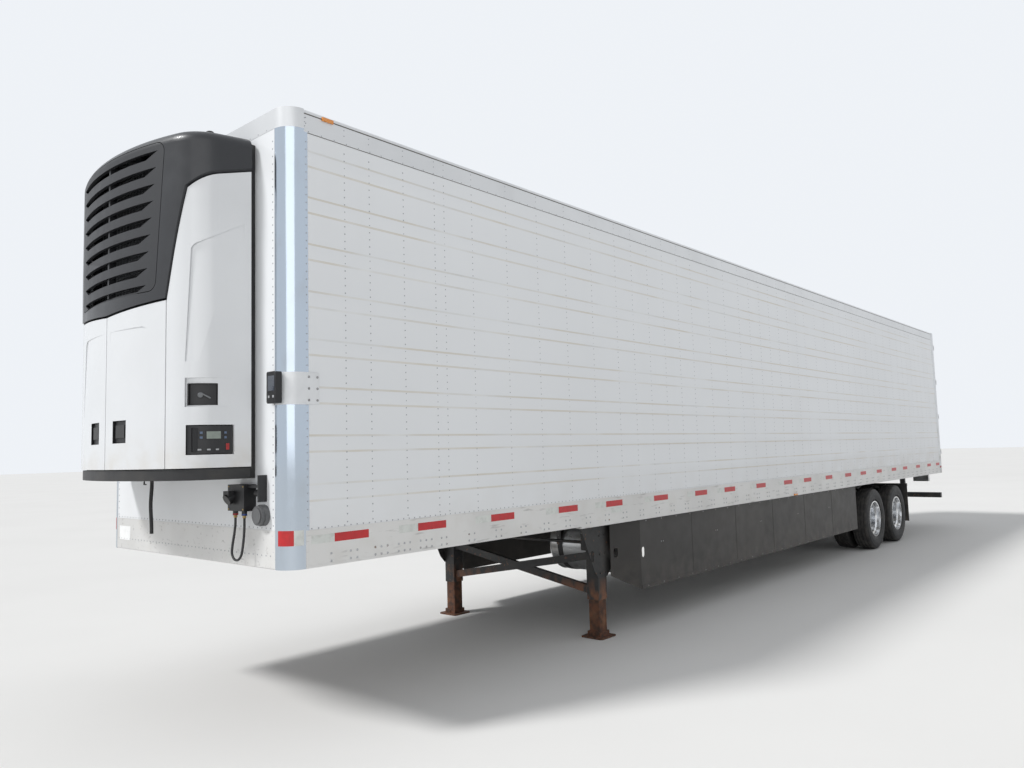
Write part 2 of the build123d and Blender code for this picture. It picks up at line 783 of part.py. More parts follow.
# Air springs: a rubber bellows with one waist over a plain piston
spring_y = bogie_rail_y - 40
spring_radius = 135
spring_waist = spring_radius - 25
piston_radius = 95
springs = []
for axle_setback in axle_setbacks.values():
    waist_z = (spring_seat_z + bogie_bottom_z) / 2 + 60
    bellows = turned_about_z(
        [
            (0, spring_seat_z),
            (piston_radius, spring_seat_z),
            (piston_radius + 5, waist_z - 90),
            (spring_radius, waist_z - 60),
            (spring_radius, waist_z - 10),
            (spring_waist, waist_z),
            (spring_radius, waist_z + 10),
            (spring_radius, bogie_bottom_z - 12),
            (spring_radius - 15, bogie_bottom_z),
            (0, bogie_bottom_z),
        ],
        aft(axle_setback + spring_behind),
        spring_y,
    )
    springs += pair(bellows)
save("air_springs", *springs)

# Axles: tube, spindles, brake spiders, brake chambers and their cam shafts
beam_half = disc_y - 284
spindle_half = disc_y + 76
spindle_radius = 38
spider_radius = 200
spider_thickness = 14
chamber_radius = 80
chamber_ahead = 190
chamber_y = (bogie_rail_y - 270, bogie_rail_y - 120)
chamber_z = axle_z + 60
cam_shaft_radius = 19
axles = []
for axle_setback in axle_setbacks.values():
    x = aft(axle_setback)
    axle = rod((x, -beam_half, axle_z), (x, beam_half, axle_z), axle_beam_radius)
    axle += rod((x, -spindle_half, axle_z), (x, spindle_half, axle_z), spindle_radius)
    for side in (-1, 1):
        seat_y = (side * (arm_y - arm_half), side * (arm_y + arm_half))
        axle += slab((x - 90, x + 90), seat_y, (axle_z, axle_z + axle_beam_radius + 1))
        spider = (side * beam_half, side * (beam_half + spider_thickness))
        axle += rod((x, spider[0], axle_z), (x, spider[1], axle_z), spider_radius)
        can = (side * chamber_y[0], side * chamber_y[1])
        chamber_x = x + chamber_ahead
        axle += rod((chamber_x, can[0], chamber_z), (chamber_x, can[1], chamber_z), chamber_radius)
        axle += slab(
            (x, chamber_x + 20),
            (can[1] - side * 5, can[1] + side * 10),
            (axle_z - 20, axle_z + 110),
        )
        cam_x = x + 110
        axle += rod((cam_x, can[1], axle_z), (cam_x, spider[0] + side * 5, axle_z), cam_shaft_radius)
    axles.append(axle)
save("axles", *axles)

# Tyres: bead, bulged sidewall, rounded shoulder and a slightly crowned tread
rim_half = 105
rim_lip = 12
bead_clearance = 0.3
bead_half = rim_half - bead_clearance
shoulder_half = 108
shoulder_drop = 7
sidewall_radius = 400
tread_corner_half = 124
tread_corner_drop = 24


def tyre_profile(centre_y):
    """One tyre's outline in (y, radius), its arcs drawn for both sides."""
    bead = rim_radius + bead_clearance
    corner = tyre_radius - tread_corner_drop
    shoulder = tyre_radius - shoulder_drop
    edges = Line((centre_y - bead_half, bead), (centre_y + bead_half, bead))
    for side in (-1, 1):
        foot = (centre_y + side * bead_half, bead)
        ledge = (centre_y + side * bead_half, bead + rim_lip)
        flange = (centre_y + side * (bead_half + 15), bead + rim_lip + 12)
        bulge = (centre_y + side * tyre_half_width, sidewall_radius)
        knee = (centre_y + side * tread_corner_half, corner)
        top = (centre_y + side * shoulder_half, shoulder)
        edges += Line(foot, ledge)
        edges += Line(ledge, flange)
        edges += ThreePointArc(flange, bulge, knee)
        edges += Line(knee, top)
    left_top = (centre_y - shoulder_half, shoulder)
    right_top = (centre_y + shoulder_half, shoulder)
    edges += ThreePointArc(left_top, (centre_y, tyre_radius), right_top)
    return edges


# Wheels: twin drop-centre rims with hand holes, bolted to one hub and drum
disc_thickness = 22
hub_hole_radius = 110.5
hand_hole_count = 10
hand_hole_radius = 26
hand_hole_circle = 213


def rim_section(centre_y, outward):
    """A drop-centre rim whose disc meets the twin's disc half way between the tyres."""
    inward = -outward
    return [
        (centre_y + outward * (rim_half + rim_lip), rim_radius + rim_lip),
        (centre_y + outward * (rim_half + rim_lip), rim_radius - 8),
        (centre_y + outward * 60, rim_radius - 18),
        (centre_y + outward * 40, rim_radius - 38),
        (centre_y + inward * 60, rim_radius - 42),
        (disc_y - inward * disc_thickness, 190),
        (disc_y - inward * disc_thickness, hub_hole_radius),
        (disc_y, hub_hole_radius),
        (disc_y, 200),
        (centre_y + inward * (rim_half + 2), rim_radius - 20),
        (centre_y + inward * (rim_half + rim_lip), rim_radius - 8),
        (centre_y + inward * (rim_half + rim_lip), rim_radius + rim_lip),
        (centre_y + inward * rim_half, rim_radius + rim_lip),
        (centre_y + inward * rim_half, rim_radius),
        (centre_y + inward * 60, rim_radius - 4),
        (centre_y + inward * 45, rim_radius - 26),
        (centre_y + outward * 50, rim_radius - 26),
        (centre_y + outward * 70, rim_radius - 4),
        (centre_y + outward * rim_half, rim_radius),
        (centre_y + outward * rim_half, rim_radius + rim_lip),
    ]


hub_section = [
    (disc_y - 249, drum_radius - 26),
    (disc_y - 249, drum_radius),
    (disc_y - 99, drum_radius),
    (disc_y - 39, 180),
    (disc_y - disc_thickness, 180),
    (disc_y - disc_thickness, hub_hole_radius - 0.5),
    (disc_y + disc_thickness, hub_hole_radius - 0.5),
    (disc_y + 40, 100),
    (disc_y + 106, 90),
    (disc_y + 166, 78),
    (disc_y + 176, 70),
    (disc_y + 176, 0),
    (disc_y + 156, 0),
    (disc_y + 106, 50),
    (disc_y - 244, 50),
    (disc_y - 244, 90),
    (disc_y - 54, 110),
    (disc_y - 54, 165),
    (disc_y - 114, drum_radius - 26),
]
tyres = [turned_about_y(tyre_profile(centre_y), 0, 0) for centre_y in (outer_tyre_y, inner_tyre_y)]
rims = turned_about_y(rim_section(outer_tyre_y, 1), 0, 0)
rims += turned_about_y(rim_section(inner_tyre_y, -1), 0, 0)
hand_holes = []
for index in range(hand_hole_count):
    turn = radians(360 * (index + 0.5) / hand_hole_count)
    place = (hand_hole_circle * sin(turn), hand_hole_circle * cos(turn))
    start = (place[0], inner_tyre_y, place[1])
    hand_holes.append(rod(start, (place[0], outer_tyre_y, place[1]), hand_hole_radius))
rims = rims.cut(*hand_holes)
wheel = rims + turned_about_y(hub_section, 0, 0)
for axle_name, axle_setback in axle_setbacks.items():
    seat = Pos(aft(axle_setback), 0, axle_z)
    for piece_name, solids in (("tyres", tyres), ("wheels", [wheel])):
        left = [seat * solid for solid in solids]
        save(f"{piece_name}_{axle_name}_left", *left)
        right = [mirror(solid, about=Plane.XZ) for solid in left]
        save(f"{piece_name}_{axle_name}_right", *right)

# Mud flaps and the rear underride guard
flap_bottom_z = 310
flap = slab(
    (flap_x - flap_thickness / 2, flap_x + flap_thickness / 2),
    (flap_inner_y, flap_outer_y),
    (flap_bottom_z, flap_arm_z[1]),
)
save("mud_flaps", *pair(flap))

guard_setback = frame_setback - 28
guard_x = aft(guard_setback)
guard_half = half_width - 40
guard_post_y = half_width - 780
guard_z = (585, 690)
guard_rise = rear_rail_bottom_z - guard_z[0]
guard = slab((guard_x - 50, guard_x + 50), (-guard_half, guard_half), guard_z)
for y in (-guard_post_y, guard_post_y):
    foot = (guard_x, y, guard_z[0] + 55)
    guard += bar(foot, (guard_x + 66, y, foot[2] + guard_rise - 9), 100, 60)
guard &= slab((guard_x - 200, guard_x + 300), (-half_width, half_width), (0, rear_rail_bottom_z))
save("underride_guard", guard)

# Rear frame: posts with the hinge lugs and pins, header and sill with the lock rods' keepers
frame_x = aft(frame_setback)
post = slab(
    (frame_x, rear_frame_front_x),
    (half_width - rear_post_width, half_width),
    (rear_rail_bottom_z, roof_z),
)
hinge_count = 4
hinge_low_z = floor_top_z + 190
hinge_high_z = door_opening_top_z - 185
hinge_rows = [
    hinge_low_z + index * (hinge_high_z - hinge_low_z) / (hinge_count - 1)
    for index in range(hinge_count)
]
strap_height = 60
lug_height = 24
hinge_x = frame_x - hinge_stand_off
lug_span_y = (hinge_pin_y - hinge_knuckle_radius, half_width)
for z in hinge_rows:
    above = z + strap_height / 2 + knuckle_gap
    below = z - strap_height / 2 - knuckle_gap - lug_height
    for low in (below, above):
        post += slab((hinge_x, frame_x), lug_span_y, (low, low + lug_height))
        knuckle = Cylinder(hinge_knuckle_radius, lug_height)
        post += Pos(hinge_x, hinge_pin_y, low + lug_height / 2) * knuckle
    post += Pos(hinge_x, hinge_pin_y, z) * Cylinder(hinge_pin_radius, strap_height + 2 * lug_height)
save("rear_posts", *pair(post))

rod_ys = (330, opening_half - 395)
rod_overrun = 60
cam_half = 20
keeper_gap = 10
keeper_width = 12
keeper_depth = 34


def keepers(z):
    """Pairs of prongs on the frame, one on each side of every lock rod's cam."""
    prongs = []
    for rod_y in rod_ys:
        for near in (cam_half + keeper_gap, -cam_half - keeper_gap - keeper_width):
            prong = slab(
                (frame_x - keeper_depth, frame_x),
                (rod_y + near, rod_y + near + keeper_width),
                (z - 20, z + 20),
            )
            prongs += pair(prong)
    return prongs


header = slab(
    (frame_x, rear_frame_front_x), (-opening_half, opening_half), (door_opening_top_z, roof_z)
)
save("rear_header", header.fuse(*keepers(door_opening_top_z + rod_overrun)))
lamp_box_y = (half_width - 550, half_width - 250)
lamp_box_x = (frame_x + 18, frame_x + 118)
lamp_box_z = (rear_rail_bottom_z - 179, rear_rail_bottom_z)
sill = slab(
    (frame_x, rear_frame_front_x), (-opening_half, opening_half), (rear_rail_bottom_z, floor_top_z)
)
sill = sill.fuse(*pair(slab(lamp_box_x, lamp_box_y, lamp_box_z)))
save("rear_sill", sill.fuse(*keepers(floor_top_z - rod_overrun)))

bumper = slab(
    (aft(body_length), frame_x),
    (half_width - 400, half_width - 100),
    (rear_rail_bottom_z + 20, rear_rail_bottom_z + 120),
)
save("dock_bumpers", *pair(bumper))

# Rear doors, and their hinge straps, lock rods with cams and guides, handles and catches
leaf_outline = [
    (frame_x, door_gap),
    (frame_x, opening_half - door_gap),
    (frame_x + door_thickness, opening_half - door_gap),
    (frame_x + door_thickness, door_gap + door_edge_bevel),
]
leaf = along_z(leaf_outline, floor_top_z + door_sill_gap, door_opening_top_z - door_sill_gap)
save("rear_door_left", leaf)
save("rear_door_right", mirror(leaf, about=Plane.XZ))

strap_thickness = 10
strap_inner_y = opening_half - 315
door_edge_y = opening_half - door_gap
hardware = []
for z in hinge_rows:
    strap_outline = [
        (frame_x, strap_inner_y),
        (frame_x, door_edge_y),
        (frame_x - 6, door_edge_y + 4),
        (hinge_x + 9, hinge_pin_y - 6),
        (hinge_x - 8, hinge_pin_y - 12),
        (frame_x - strap_thickness - 8, door_edge_y - 20),
        (frame_x - strap_thickness, door_edge_y - 40),
        (frame_x - strap_thickness, strap_inner_y),
    ]
    strap = along_z(strap_outline, z - strap_height / 2, z + strap_height / 2)
    knuckle = Pos(hinge_x, hinge_pin_y, z)
    strap += knuckle * Cylinder(hinge_knuckle_radius, strap_height)
    strap -= knuckle * Cylinder(hinge_pin_radius + pin_clearance, strap_height + 2)
    hardware.append(strap)
rod_radius = 13.5
rod_stand_off = 26
rod_x = frame_x - rod_stand_off
rod_low_z = floor_top_z - rod_overrun
rod_high_z = door_opening_top_z + rod_overrun
handle_z = floor_top_z + 575
handle_length = 290
handle_thickness = 9
guide_half = 28
guide_reach = 17
guide_clearance = 0.5
guide_zs = (rod_low_z + 180, handle_z + 325, rod_high_z - 800, rod_high_z - 180)
for y in rod_ys:
    lock = rod((rod_x, y, rod_low_z), (rod_x, y, rod_high_z), rod_radius)
    for z in (rod_low_z, rod_high_z):
        lock += slab((rod_x - 12, rod_x + 16), (y - cam_half, y + cam_half), (z - 16, z + 16))
    handle_x = (rod_x - handle_thickness / 2, rod_x + handle_thickness / 2)
    collar = rod((rod_x, y, handle_z - 24), (rod_x, y, handle_z + 24), rod_radius + 3.5)
    hardware.append(lock + collar)
    hardware.append(slab(handle_x, (y, y + handle_length), (handle_z - 15, handle_z + 15)) - collar)
    catch_x = (handle_x[1] + 1, frame_x)
    catch_y = (y + handle_length - 35, y + handle_length - 5)
    hardware.append(slab(catch_x, catch_y, (handle_z - 30, handle_z + 30)))
    for z in guide_zs:
        guide = slab((frame_x, rod_x - guide_reach), (y - guide_half, y + guide_half), (z - 22, z + 22))
        guide -= rod((rod_x, y, z - 30), (rod_x, y, z + 30), rod_radius + guide_clearance)
        hardware.append(guide)
save("door_hardware_left", *hardware)
save("door_hardware_right", *[mirror(piece, about=Plane.XZ) for piece in hardware])

# Cooling unit: bowed plan with rounded corners, used by every cover
bow_end_x = unit_reach - (unit_bow_radius - sqrt(unit_bow_radius**2 - unit_bow_half**2))
bow_end_angle = degrees(asin(unit_bow_half / unit_bow_radius))
turn_x = cos(radians(bow_end_angle)) - cos(radians(unit_side_angle))
turn_y = sin(radians(unit_side_angle)) - sin(radians(bow_end_angle))
fall_x = bow_end_x - unit_rear_offset
rise_y = unit_rear_half - unit_bow_half
slant_x = sin(radians(unit_side_angle))
slant_y = cos(radians(unit_side_angle))
unit_corner_radius = (fall_x * slant_y - rise_y * slant_x) / (turn_x * slant_y - turn_y * slant_x)


def unit_outline(inset=0.0):
    """The plan of the covers as one face, moved in by `inset`; the back stays open to the nose."""
    corner_x = bow_end_x - unit_corner_radius * cos(radians(bow_end_angle))
    corner_y = unit_bow_half - unit_corner_radius * sin(radians(bow_end_angle))
    radius = unit_corner_radius - inset

    def on_corner(angle, side):
        turn = radians(angle)
        return (corner_x + radius * cos(turn), side * (corner_y + radius * sin(turn)))

    def at_back(side):
        x, y = on_corner(unit_side_angle, 1)
        run = (x - unit_rear_offset) / slant_x
        return (unit_rear_offset, side * (y + run * slant_y))

    middle_angle = (bow_end_angle + unit_side_angle) / 2
    front = (unit_reach - inset, 0)
    edges = Line(at_back(-1), on_corner(unit_side_angle, -1))
    right_corner = [on_corner(angle, -1) for angle in (unit_side_angle, middle_angle, bow_end_angle)]
    left_corner = [on_corner(angle, 1) for angle in (bow_end_angle, middle_angle, unit_side_angle)]
    edges += ThreePointArc(*right_corner)
    edges += ThreePointArc(on_corner(bow_end_angle, -1), front, on_corner(bow_end_angle, 1))
    edges += ThreePointArc(*left_corner)
    edges += Line(on_corner(unit_side_angle, 1), at_back(1))
    edges += Line(at_back(1), at_back(-1))
    return make_face(edges)


def unit_body(inset, low_z, high_z):
    """A solid of the covers' plan between two heights."""
    return extrude(Pos(nose_x, 0, low_z) * unit_outline(inset), amount=high_z - low_z)


def yz_cut(points):
    """A cutter drawn along X over the whole depth of the unit from (y, z) points."""
    return along_x(points, nose_x - 10, nose_x + unit_reach + 50)


def sunk_field(outline, pivot, tilt_x, tilt_y, tilt_z, drop=0.0):
    """A cutter for a pressed field inside `outline` that fades out: the covers' own surface,
    tilted a little about `pivot` and set back by `drop`, is its floor."""
    floor = unit_body(cover_inset + drop, unit_bottom_z - 300, unit_top_z + 300)
    tilted = Pos(*pivot) * Rot(tilt_x, tilt_y, tilt_z) * Pos(*[-place for place in pivot]) * floor
    return outline - tilted


# Front doors: a pressed field that fades downwards and a pocket for the latch
far_y = unit_rear_half + 100
half_gap = unit_gap / 2
edge_gap = shroud_gap / 2
cover_low_z = unit_bottom_z + 6
band = unit_body(cover_inset, unit_bottom_z, shroud_edge_rear_z + 100)
band -= unit_body(cover_inset + unit_skin, unit_bottom_z - 1, shroud_edge_rear_z + 101)
door_cut = yz_cut(
    [
        (half_gap, cover_low_z),
        (unit_seam_y - half_gap, cover_low_z),
        (unit_seam_y - half_gap, shroud_edge_seam_z - edge_gap),
        (half_gap, shroud_edge_centre_z - edge_gap),
    ]
)
crease_z = shroud_edge_centre_z - 113
crease_y = unit_seam_y - 164
door_field = make_face(
    Polyline(
        (60, crease_z - 600),
        (crease_y + 40, crease_z - 600),
        (crease_y, crease_z),
        (60, crease_z),
        close=True,
    )
)
door_field = fillet(door_field.vertices().sort_by_distance((crease_y, crease_z))[0], 70)
door_prism = extrude(Plane.YZ.offset(nose_x + 300) * door_field, amount=unit_reach)
door_pivot = (nose_x + unit_reach, 60, crease_z)
front_door = (band & door_cut) - sunk_field(door_prism, door_pivot, 0, -0.7, 0.7, 1)
latch_y = (110, 280)
latch_z = (unit_bottom_z + 180, unit_bottom_z + 330)
pocket_floor = cover_inset + 18
latch_pocket = slab((nose_x + 400, nose_x + unit_reach + 20), latch_y, latch_z)
latch_pocket -= unit_body(pocket_floor, latch_z[0] - 50, latch_z[1] + 50)
front_door -= latch_pocket
save("unit_door_left", front_door)
save("unit_door_right", mirror(front_door, about=Plane.XZ))

# Side panels: a pressed field, a scooped latch and, on the left, the control panel's window
side_cut = yz_cut(
    [
        (unit_seam_y + half_gap, cover_low_z),
        (far_y, cover_low_z),
        (far_y, shroud_edge_rear_z + 12),
        (unit_rear_half, shroud_edge_rear_z - edge_gap),
        (shroud_edge_side_y + 5, shroud_edge_side_z - edge_gap),
        (unit_seam_y + half_gap, shroud_edge_seam_z - edge_gap),
    ]
)
knee_z = unit_top_z - 770
side_field = make_face(
    Polyline(
        (nose_x + 90, knee_z - 750),
        (nose_x + 412, knee_z - 750),
        (nose_x + 390, knee_z),
        (nose_x + 90, knee_z + 165),
        close=True,
    )
)
side_field = fillet(side_field.vertices().sort_by_distance((nose_x + 390, knee_z))[0], 60)
side_depth_y = unit_seam_y - 60
side_prism = extrude(Plane.XZ.offset(-far_y) * side_field, amount=far_y - side_depth_y)
side_pivot = (nose_x + 100, unit_rear_half, knee_z)
side_panel = (band & side_cut) - sunk_field(side_prism, side_pivot, 0.95, 0, -2.1)
scoop_z = (unit_bottom_z + 392, unit_bottom_z + 575)
scoop = slab((nose_x + 165, nose_x + 412), (side_depth_y, far_y), scoop_z)
scoop_pivot = (nose_x + 170, unit_rear_half - 30, scoop_z[0])
side_panel -= sunk_field(scoop, scoop_pivot, 0, 0, -3.2)
side_latch_x = (nose_x + 246, nose_x + 395)
side_latch_z = (unit_bottom_z + 401, unit_bottom_z + 540)
side_latch = slab(side_latch_x, (side_depth_y, far_y), side_latch_z)
side_latch -= unit_body(cover_inset + 20, side_latch_z[0] - 50, side_latch_z[1] + 50)
side_panel -= side_latch
save("unit_side_right", mirror(side_panel, about=Plane.XZ))

window_x = (nose_x + 149, nose_x + 407)
window_z = (unit_bottom_z + 89, unit_bottom_z + 277)
window_gap = 5
save("unit_side_left", side_panel - slab(window_x, (side_depth_y, far_y), window_z))

# Control panel behind the left side panel: a face with a display bezel, keys and a switch
face_inset = cover_inset + 10
key_rise = 3
panel_face = unit_body(face_inset, window_z[0] + window_gap, window_z[1] - window_gap)
panel_face -= unit_body(face_inset + 50, window_z[0] - 50, window_z[1] + 50)
panel_face &= slab((window_x[0] + window_gap, window_x[1] - window_gap), (500, far_y), window_z)
panel_details = [
    # distance from the window's front edge, height over its foot, width, height
    (62, 98, 20, 20),
    (62, 128, 20, 20),
    (94, 94, 92, 58),
    (198, 98, 20, 20),
    (198, 128, 20, 20),
    (52, 24, 24, 16),
    (100, 24, 24, 16),
    (148, 24, 24, 16),
    (208, 26, 26, 46),
]
raised = unit_body(face_inset - key_rise, window_z[0], window_z[1])
raised -= unit_body(face_inset + 5, window_z[0] - 1, window_z[1] + 1)
keys = []
for from_front, height, wide, tall in panel_details:
    key_x = (window_x[1] - from_front, window_x[1] - from_front - wide)
    key_z = (window_z[0] + height, window_z[0] + height + tall)
    keys += [raised & slab(key_x, (500, far_y), key_z)]
unit_post_x = (nose_x + 400, nose_x + 440)
unit_post_y = (unit_seam_y - 64, unit_seam_y - 24)
box_z = (window_z[0] + 20, window_z[1] - 20)
box_back = slab((nose_x + 200, nose_x + 380), (unit_post_y[1], unit_rear_half - 120), box_z)
box_foot = slab((nose_x + 380, unit_post_x[1]), (unit_post_y[1], unit_post_y[1] + 8), window_z)
save("control_panel", panel_face.fuse(*keys, box_back, box_foot))

# Shroud: one moulding over the top and both shoulders, its front edge rolled back
shroud_edge = [
    (0, shroud_edge_centre_z + edge_gap),
    (unit_seam_y, shroud_edge_seam_z + edge_gap),
    (shroud_edge_side_y, shroud_edge_side_z + edge_gap),
    (unit_rear_half, shroud_edge_rear_z + edge_gap),
    (far_y, shroud_edge_rear_z + 20),
]
below_edge = [(-y, z) for y, z in reversed(shroud_edge)] + shroud_edge[1:]
below_edge = [(-far_y, unit_bottom_z - 10)] + below_edge + [(far_y, unit_bottom_z - 10)]
shroud_outer = unit_body(0, shroud_edge_centre_z, unit_top_z)
top_edges = shroud_outer.faces().sort_by(Axis.Z)[-1].edges()
front_top_edges = [edge for edge in top_edges if (edge @ 0.5).X > nose_x + unit_rear_offset + 1]
shroud_outer = fillet(front_top_edges, unit_top_round)
shroud_roof = 30
shroud = shroud_outer - unit_body(unit_skin, shroud_edge_centre_z - 1, unit_top_z - shroud_roof)
shroud -= yz_cut(below_edge)

# Grille panel: sits in the shroud behind a narrow groove, slotted between bars
grille_bottom_z = shroud_edge_centre_z + 107
grille_top_z = unit_top_z - 61
grille_bottom_half = unit_seam_y - 85
grille_top_half = unit_seam_y - 11
grille_corner = 70
groove = 5
flange_overlap = 20
flange_thickness = 6


def grille_prism(margin):
    """The grille's rounded outline, grown by `margin`, drawn along X through the front."""
    outline = make_face(
        Polyline(
            (-grille_bottom_half - margin, grille_bottom_z - margin),
            (grille_bottom_half + margin, grille_bottom_z - margin),
            (grille_top_half + margin, grille_top_z + margin),
            (-grille_top_half - margin, grille_top_z + margin),
            close=True,
        )
    )
    rounded = fillet(outline.vertices(), grille_corner + margin)
    return extrude(Plane.YZ.offset(nose_x + 200) * rounded, amount=unit_reach)


vent_cap_place = (nose_x + 250, 250)
vent_cap_radius = 32
vent_cap_height = 22
vent_cap = Pos(*vent_cap_place, unit_top_z) * Cylinder(vent_cap_radius, 2 * vent_cap_height)
save("unit_shroud", shroud - grille_prism(groove / 2) + vent_cap)

slot_count = 9
slot_height = 48
slot_point = 115
lowest_tip_z = grille_bottom_z + 46
highest_tip_z = grille_top_z - 55
lowest_tip_y = grille_bottom_half - 85
highest_tip_y = grille_top_half - 61
slots = []
blades = []
blade_x = (nose_x + 418, nose_x + 452)
blade_drop = 34
blade_thickness = 5
blade_half = grille_bottom_half - 40
for index in range(slot_count):
    share = index / (slot_count - 1)
    tip_y = lowest_tip_y + share * (highest_tip_y - lowest_tip_y)
    tip_z = lowest_tip_z + share * (highest_tip_z - lowest_tip_z)
    knee_y = tip_y - slot_point
    slot = [
        (-tip_y, tip_z),
        (tip_y, tip_z),
        (knee_y, tip_z - slot_height),
        (-knee_y, tip_z - slot_height),
    ]
    slots.append(yz_cut(slot))
    blade = [
        (blade_x[0], tip_z + blade_drop),
        (blade_x[1], tip_z),
        (blade_x[1], tip_z + blade_thickness),
        (blade_x[0], tip_z + blade_drop + blade_thickness),
    ]
    blades.append(along_y(blade, -blade_half, blade_half))
rib_half = 11
rib_inset = 14
rib_depth = 60
rib = unit_body(rib_inset, grille_bottom_z + 20, grille_top_z - 20)
rib -= unit_body(rib_depth, grille_bottom_z, grille_top_z)
rib_zone_z = (grille_bottom_z, grille_top_z)
rib &= slab((nose_x + 400, nose_x + unit_reach), (-rib_half, rib_half), rib_zone_z)
grille = (shroud & grille_prism(-groove / 2)).cut(*slots)
flange_zone = unit_body(unit_skin, grille_bottom_z - 60, grille_top_z + 60)
flange_zone -= unit_body(unit_skin + flange_thickness, grille_bottom_z - 61, grille_top_z + 61)
flange = (flange_zone & grille_prism(flange_overlap)) - grille_prism(-flange_overlap)
save("condenser_grille", grille.fuse(flange, rib))

shelf_z = (shroud_edge_centre_z - 40, shroud_edge_centre_z - 20)
coil_x = (nose_x + 330, nose_x + 400)
coil_half = unit_post_y[1]
coil = slab(coil_x, (-coil_half, coil_half), (shelf_z[1], grille_top_z - 45))
guard_rail = slab(
    (coil_x[1], blade_x[1]),
    (blade_half - 12, blade_half + 12),
    (shelf_z[1], grille_top_z - 45),
)
save("condenser_coil", coil.fuse(*pair(guard_rail), *blades))
engine_half = unit_seam_y - 104
save(
    "engine_block",
    slab(
        (nose_x + 90, nose_x + 400),
        (-engine_half, engine_half),
        (unit_bottom_z, unit_bottom_z + 870),
    ),
)

# Frame of the unit: back panel on the nose, tray, shelf on four posts, and the shroud's rim
back_plate_x = (nose_x, nose_x + unit_rear_offset - 17)
back_half = unit_rear_half - 40
unit_frame = slab(back_plate_x, (-back_half, back_half), (unit_tray_z, unit_top_z - unit_skin - 15))
unit_frame += unit_body(cover_inset + 12, unit_tray_z, unit_bottom_z)
tray_back = (back_plate_x[1], nose_x + unit_rear_offset + 10)
unit_frame += slab(tray_back, (-back_half, back_half), (unit_tray_z, unit_bottom_z))
for post_x in (unit_post_x, (nose_x + 28, nose_x + 68)):
    unit_frame += slab(post_x, unit_post_y, (unit_bottom_z, shelf_z[0]))
    unit_frame += slab(post_x, [-y for y in unit_post_y], (unit_bottom_z, shelf_z[0]))
shelf_half = unit_post_y[1]
unit_frame += slab((back_plate_x[1], unit_post_x[1]), (-shelf_half, shelf_half), shelf_z)
rim_top_z = unit_top_z - shroud_roof
rim = unit_body(unit_skin, shroud_edge_rear_z + 30, rim_top_z)
rim -= unit_body(unit_skin + 8, shroud_edge_rear_z + 29, rim_top_z - 8)
rim &= slab((back_plate_x[1], nose_x + 90), (-far_y, far_y), (shroud_edge_rear_z, rim_top_z))
rim_foot = slab(
    (back_plate_x[1] - 1, tray_back[1]), (-back_half, back_half), (rim_top_z - 60, rim_top_z - 8)
)
save("unit_frame", unit_frame.fuse(rim, rim_foot))

# Document holder on the nose: a round tube with a stepped cap
holder_y = half_width - 260
holder_z = floor_top_z + 94
holder_steps = [
    # radius, distance in front of the nose
    (68, 30),
    (62, 52),
    (50, 60),
]
holder = Part()
for radius, reach in holder_steps:
    holder += rod((aft(skin_inset), holder_y, holder_z), (aft(-reach), holder_y, holder_z), radius)
save("document_holder", holder)

# Connectors under the tray: a box with a socket and two air couplings, and a bracket beside it
box_y = (half_width - 560, half_width - 360)
box_z = (unit_tray_z - 210, unit_tray_z - 40)
box_x = (aft(skin_inset), aft(-85))
socket_y = box_y[0] + 55
socket_z = box_z[0] + 95
coupling_ys = (box_y[0] + 45, box_y[1] - 45)
coupling_x = aft(-55)
coupling_foot_z = box_z[0] - 30
socket_tilt = 25
connectors = slab(box_x, box_y, box_z)
connectors += rod((aft(-80), socket_y, socket_z), (aft(-125), socket_y, socket_z - socket_tilt), 36)
connectors += slab((aft(-90), aft(-130)), (socket_y - 34, socket_y + 34), (socket_z, socket_z + 34))
for y in coupling_ys:
    connectors += rod((coupling_x, y, box_z[0] + 5), (coupling_x, y, coupling_foot_z), 17)
bracket_y = (half_width - 300, half_width - 230)
connectors += slab(
    (aft(skin_inset), aft(-60)), (box_y[1] - 5, bracket_y[1]), (unit_tray_z - 60, unit_tray_z - 44)
)
connectors += slab(
    (aft(skin_inset), aft(-60)), (bracket_y[1] - 12, bracket_y[1]), (unit_tray_z - 150, unit_tray_z + 20)
)
connectors += rod(
    (aft(-30), bracket_y[0], unit_tray_z - 95), (aft(-30), bracket_y[1] - 6, unit_tray_z - 95), 22
)
save("nose_connectors", connectors)

# Temperature display on a plate bent round the corner post
plate_z = (unit_bottom_z + 392, unit_bottom_z + 600)
plate_thickness = 3
wrap_gap = 0.3
wrap_radius = corner_radius + wrap_gap
wrap_centre = (aft(corner_radius), nose_panel_half)
wrap = Pos(*wrap_centre, plate_z[0]) * (
    Cylinder(
        wrap_radius + plate_thickness,
        plate_z[1] - plate_z[0],
        arc_size=90,
        align=(Align.NONE, Align.NONE, Align.MIN),
    )
    - Cylinder(wrap_radius, plate_z[1] - plate_z[0], align=(Align.CENTER, Align.CENTER, Align.MIN))
)
plate_y = (half_width, half_width + plate_thickness)
wrap += slab((aft(240), aft(corner_radius)), plate_y, plate_z)
display_y = (half_width - 155, half_width - 50)
plate_x = (aft(0), aft(-plate_thickness))
wrap += slab(plate_x, (display_y[0] - 10, nose_panel_half), plate_z)
display_z = (plate_z[0] + 8, plate_z[1] + 2)
display = slab((plate_x[1], aft(-48)), display_y, display_z)
display = fillet(display.edges().filter_by(Axis.X), 14)
save("display_bracket", wrap + display)

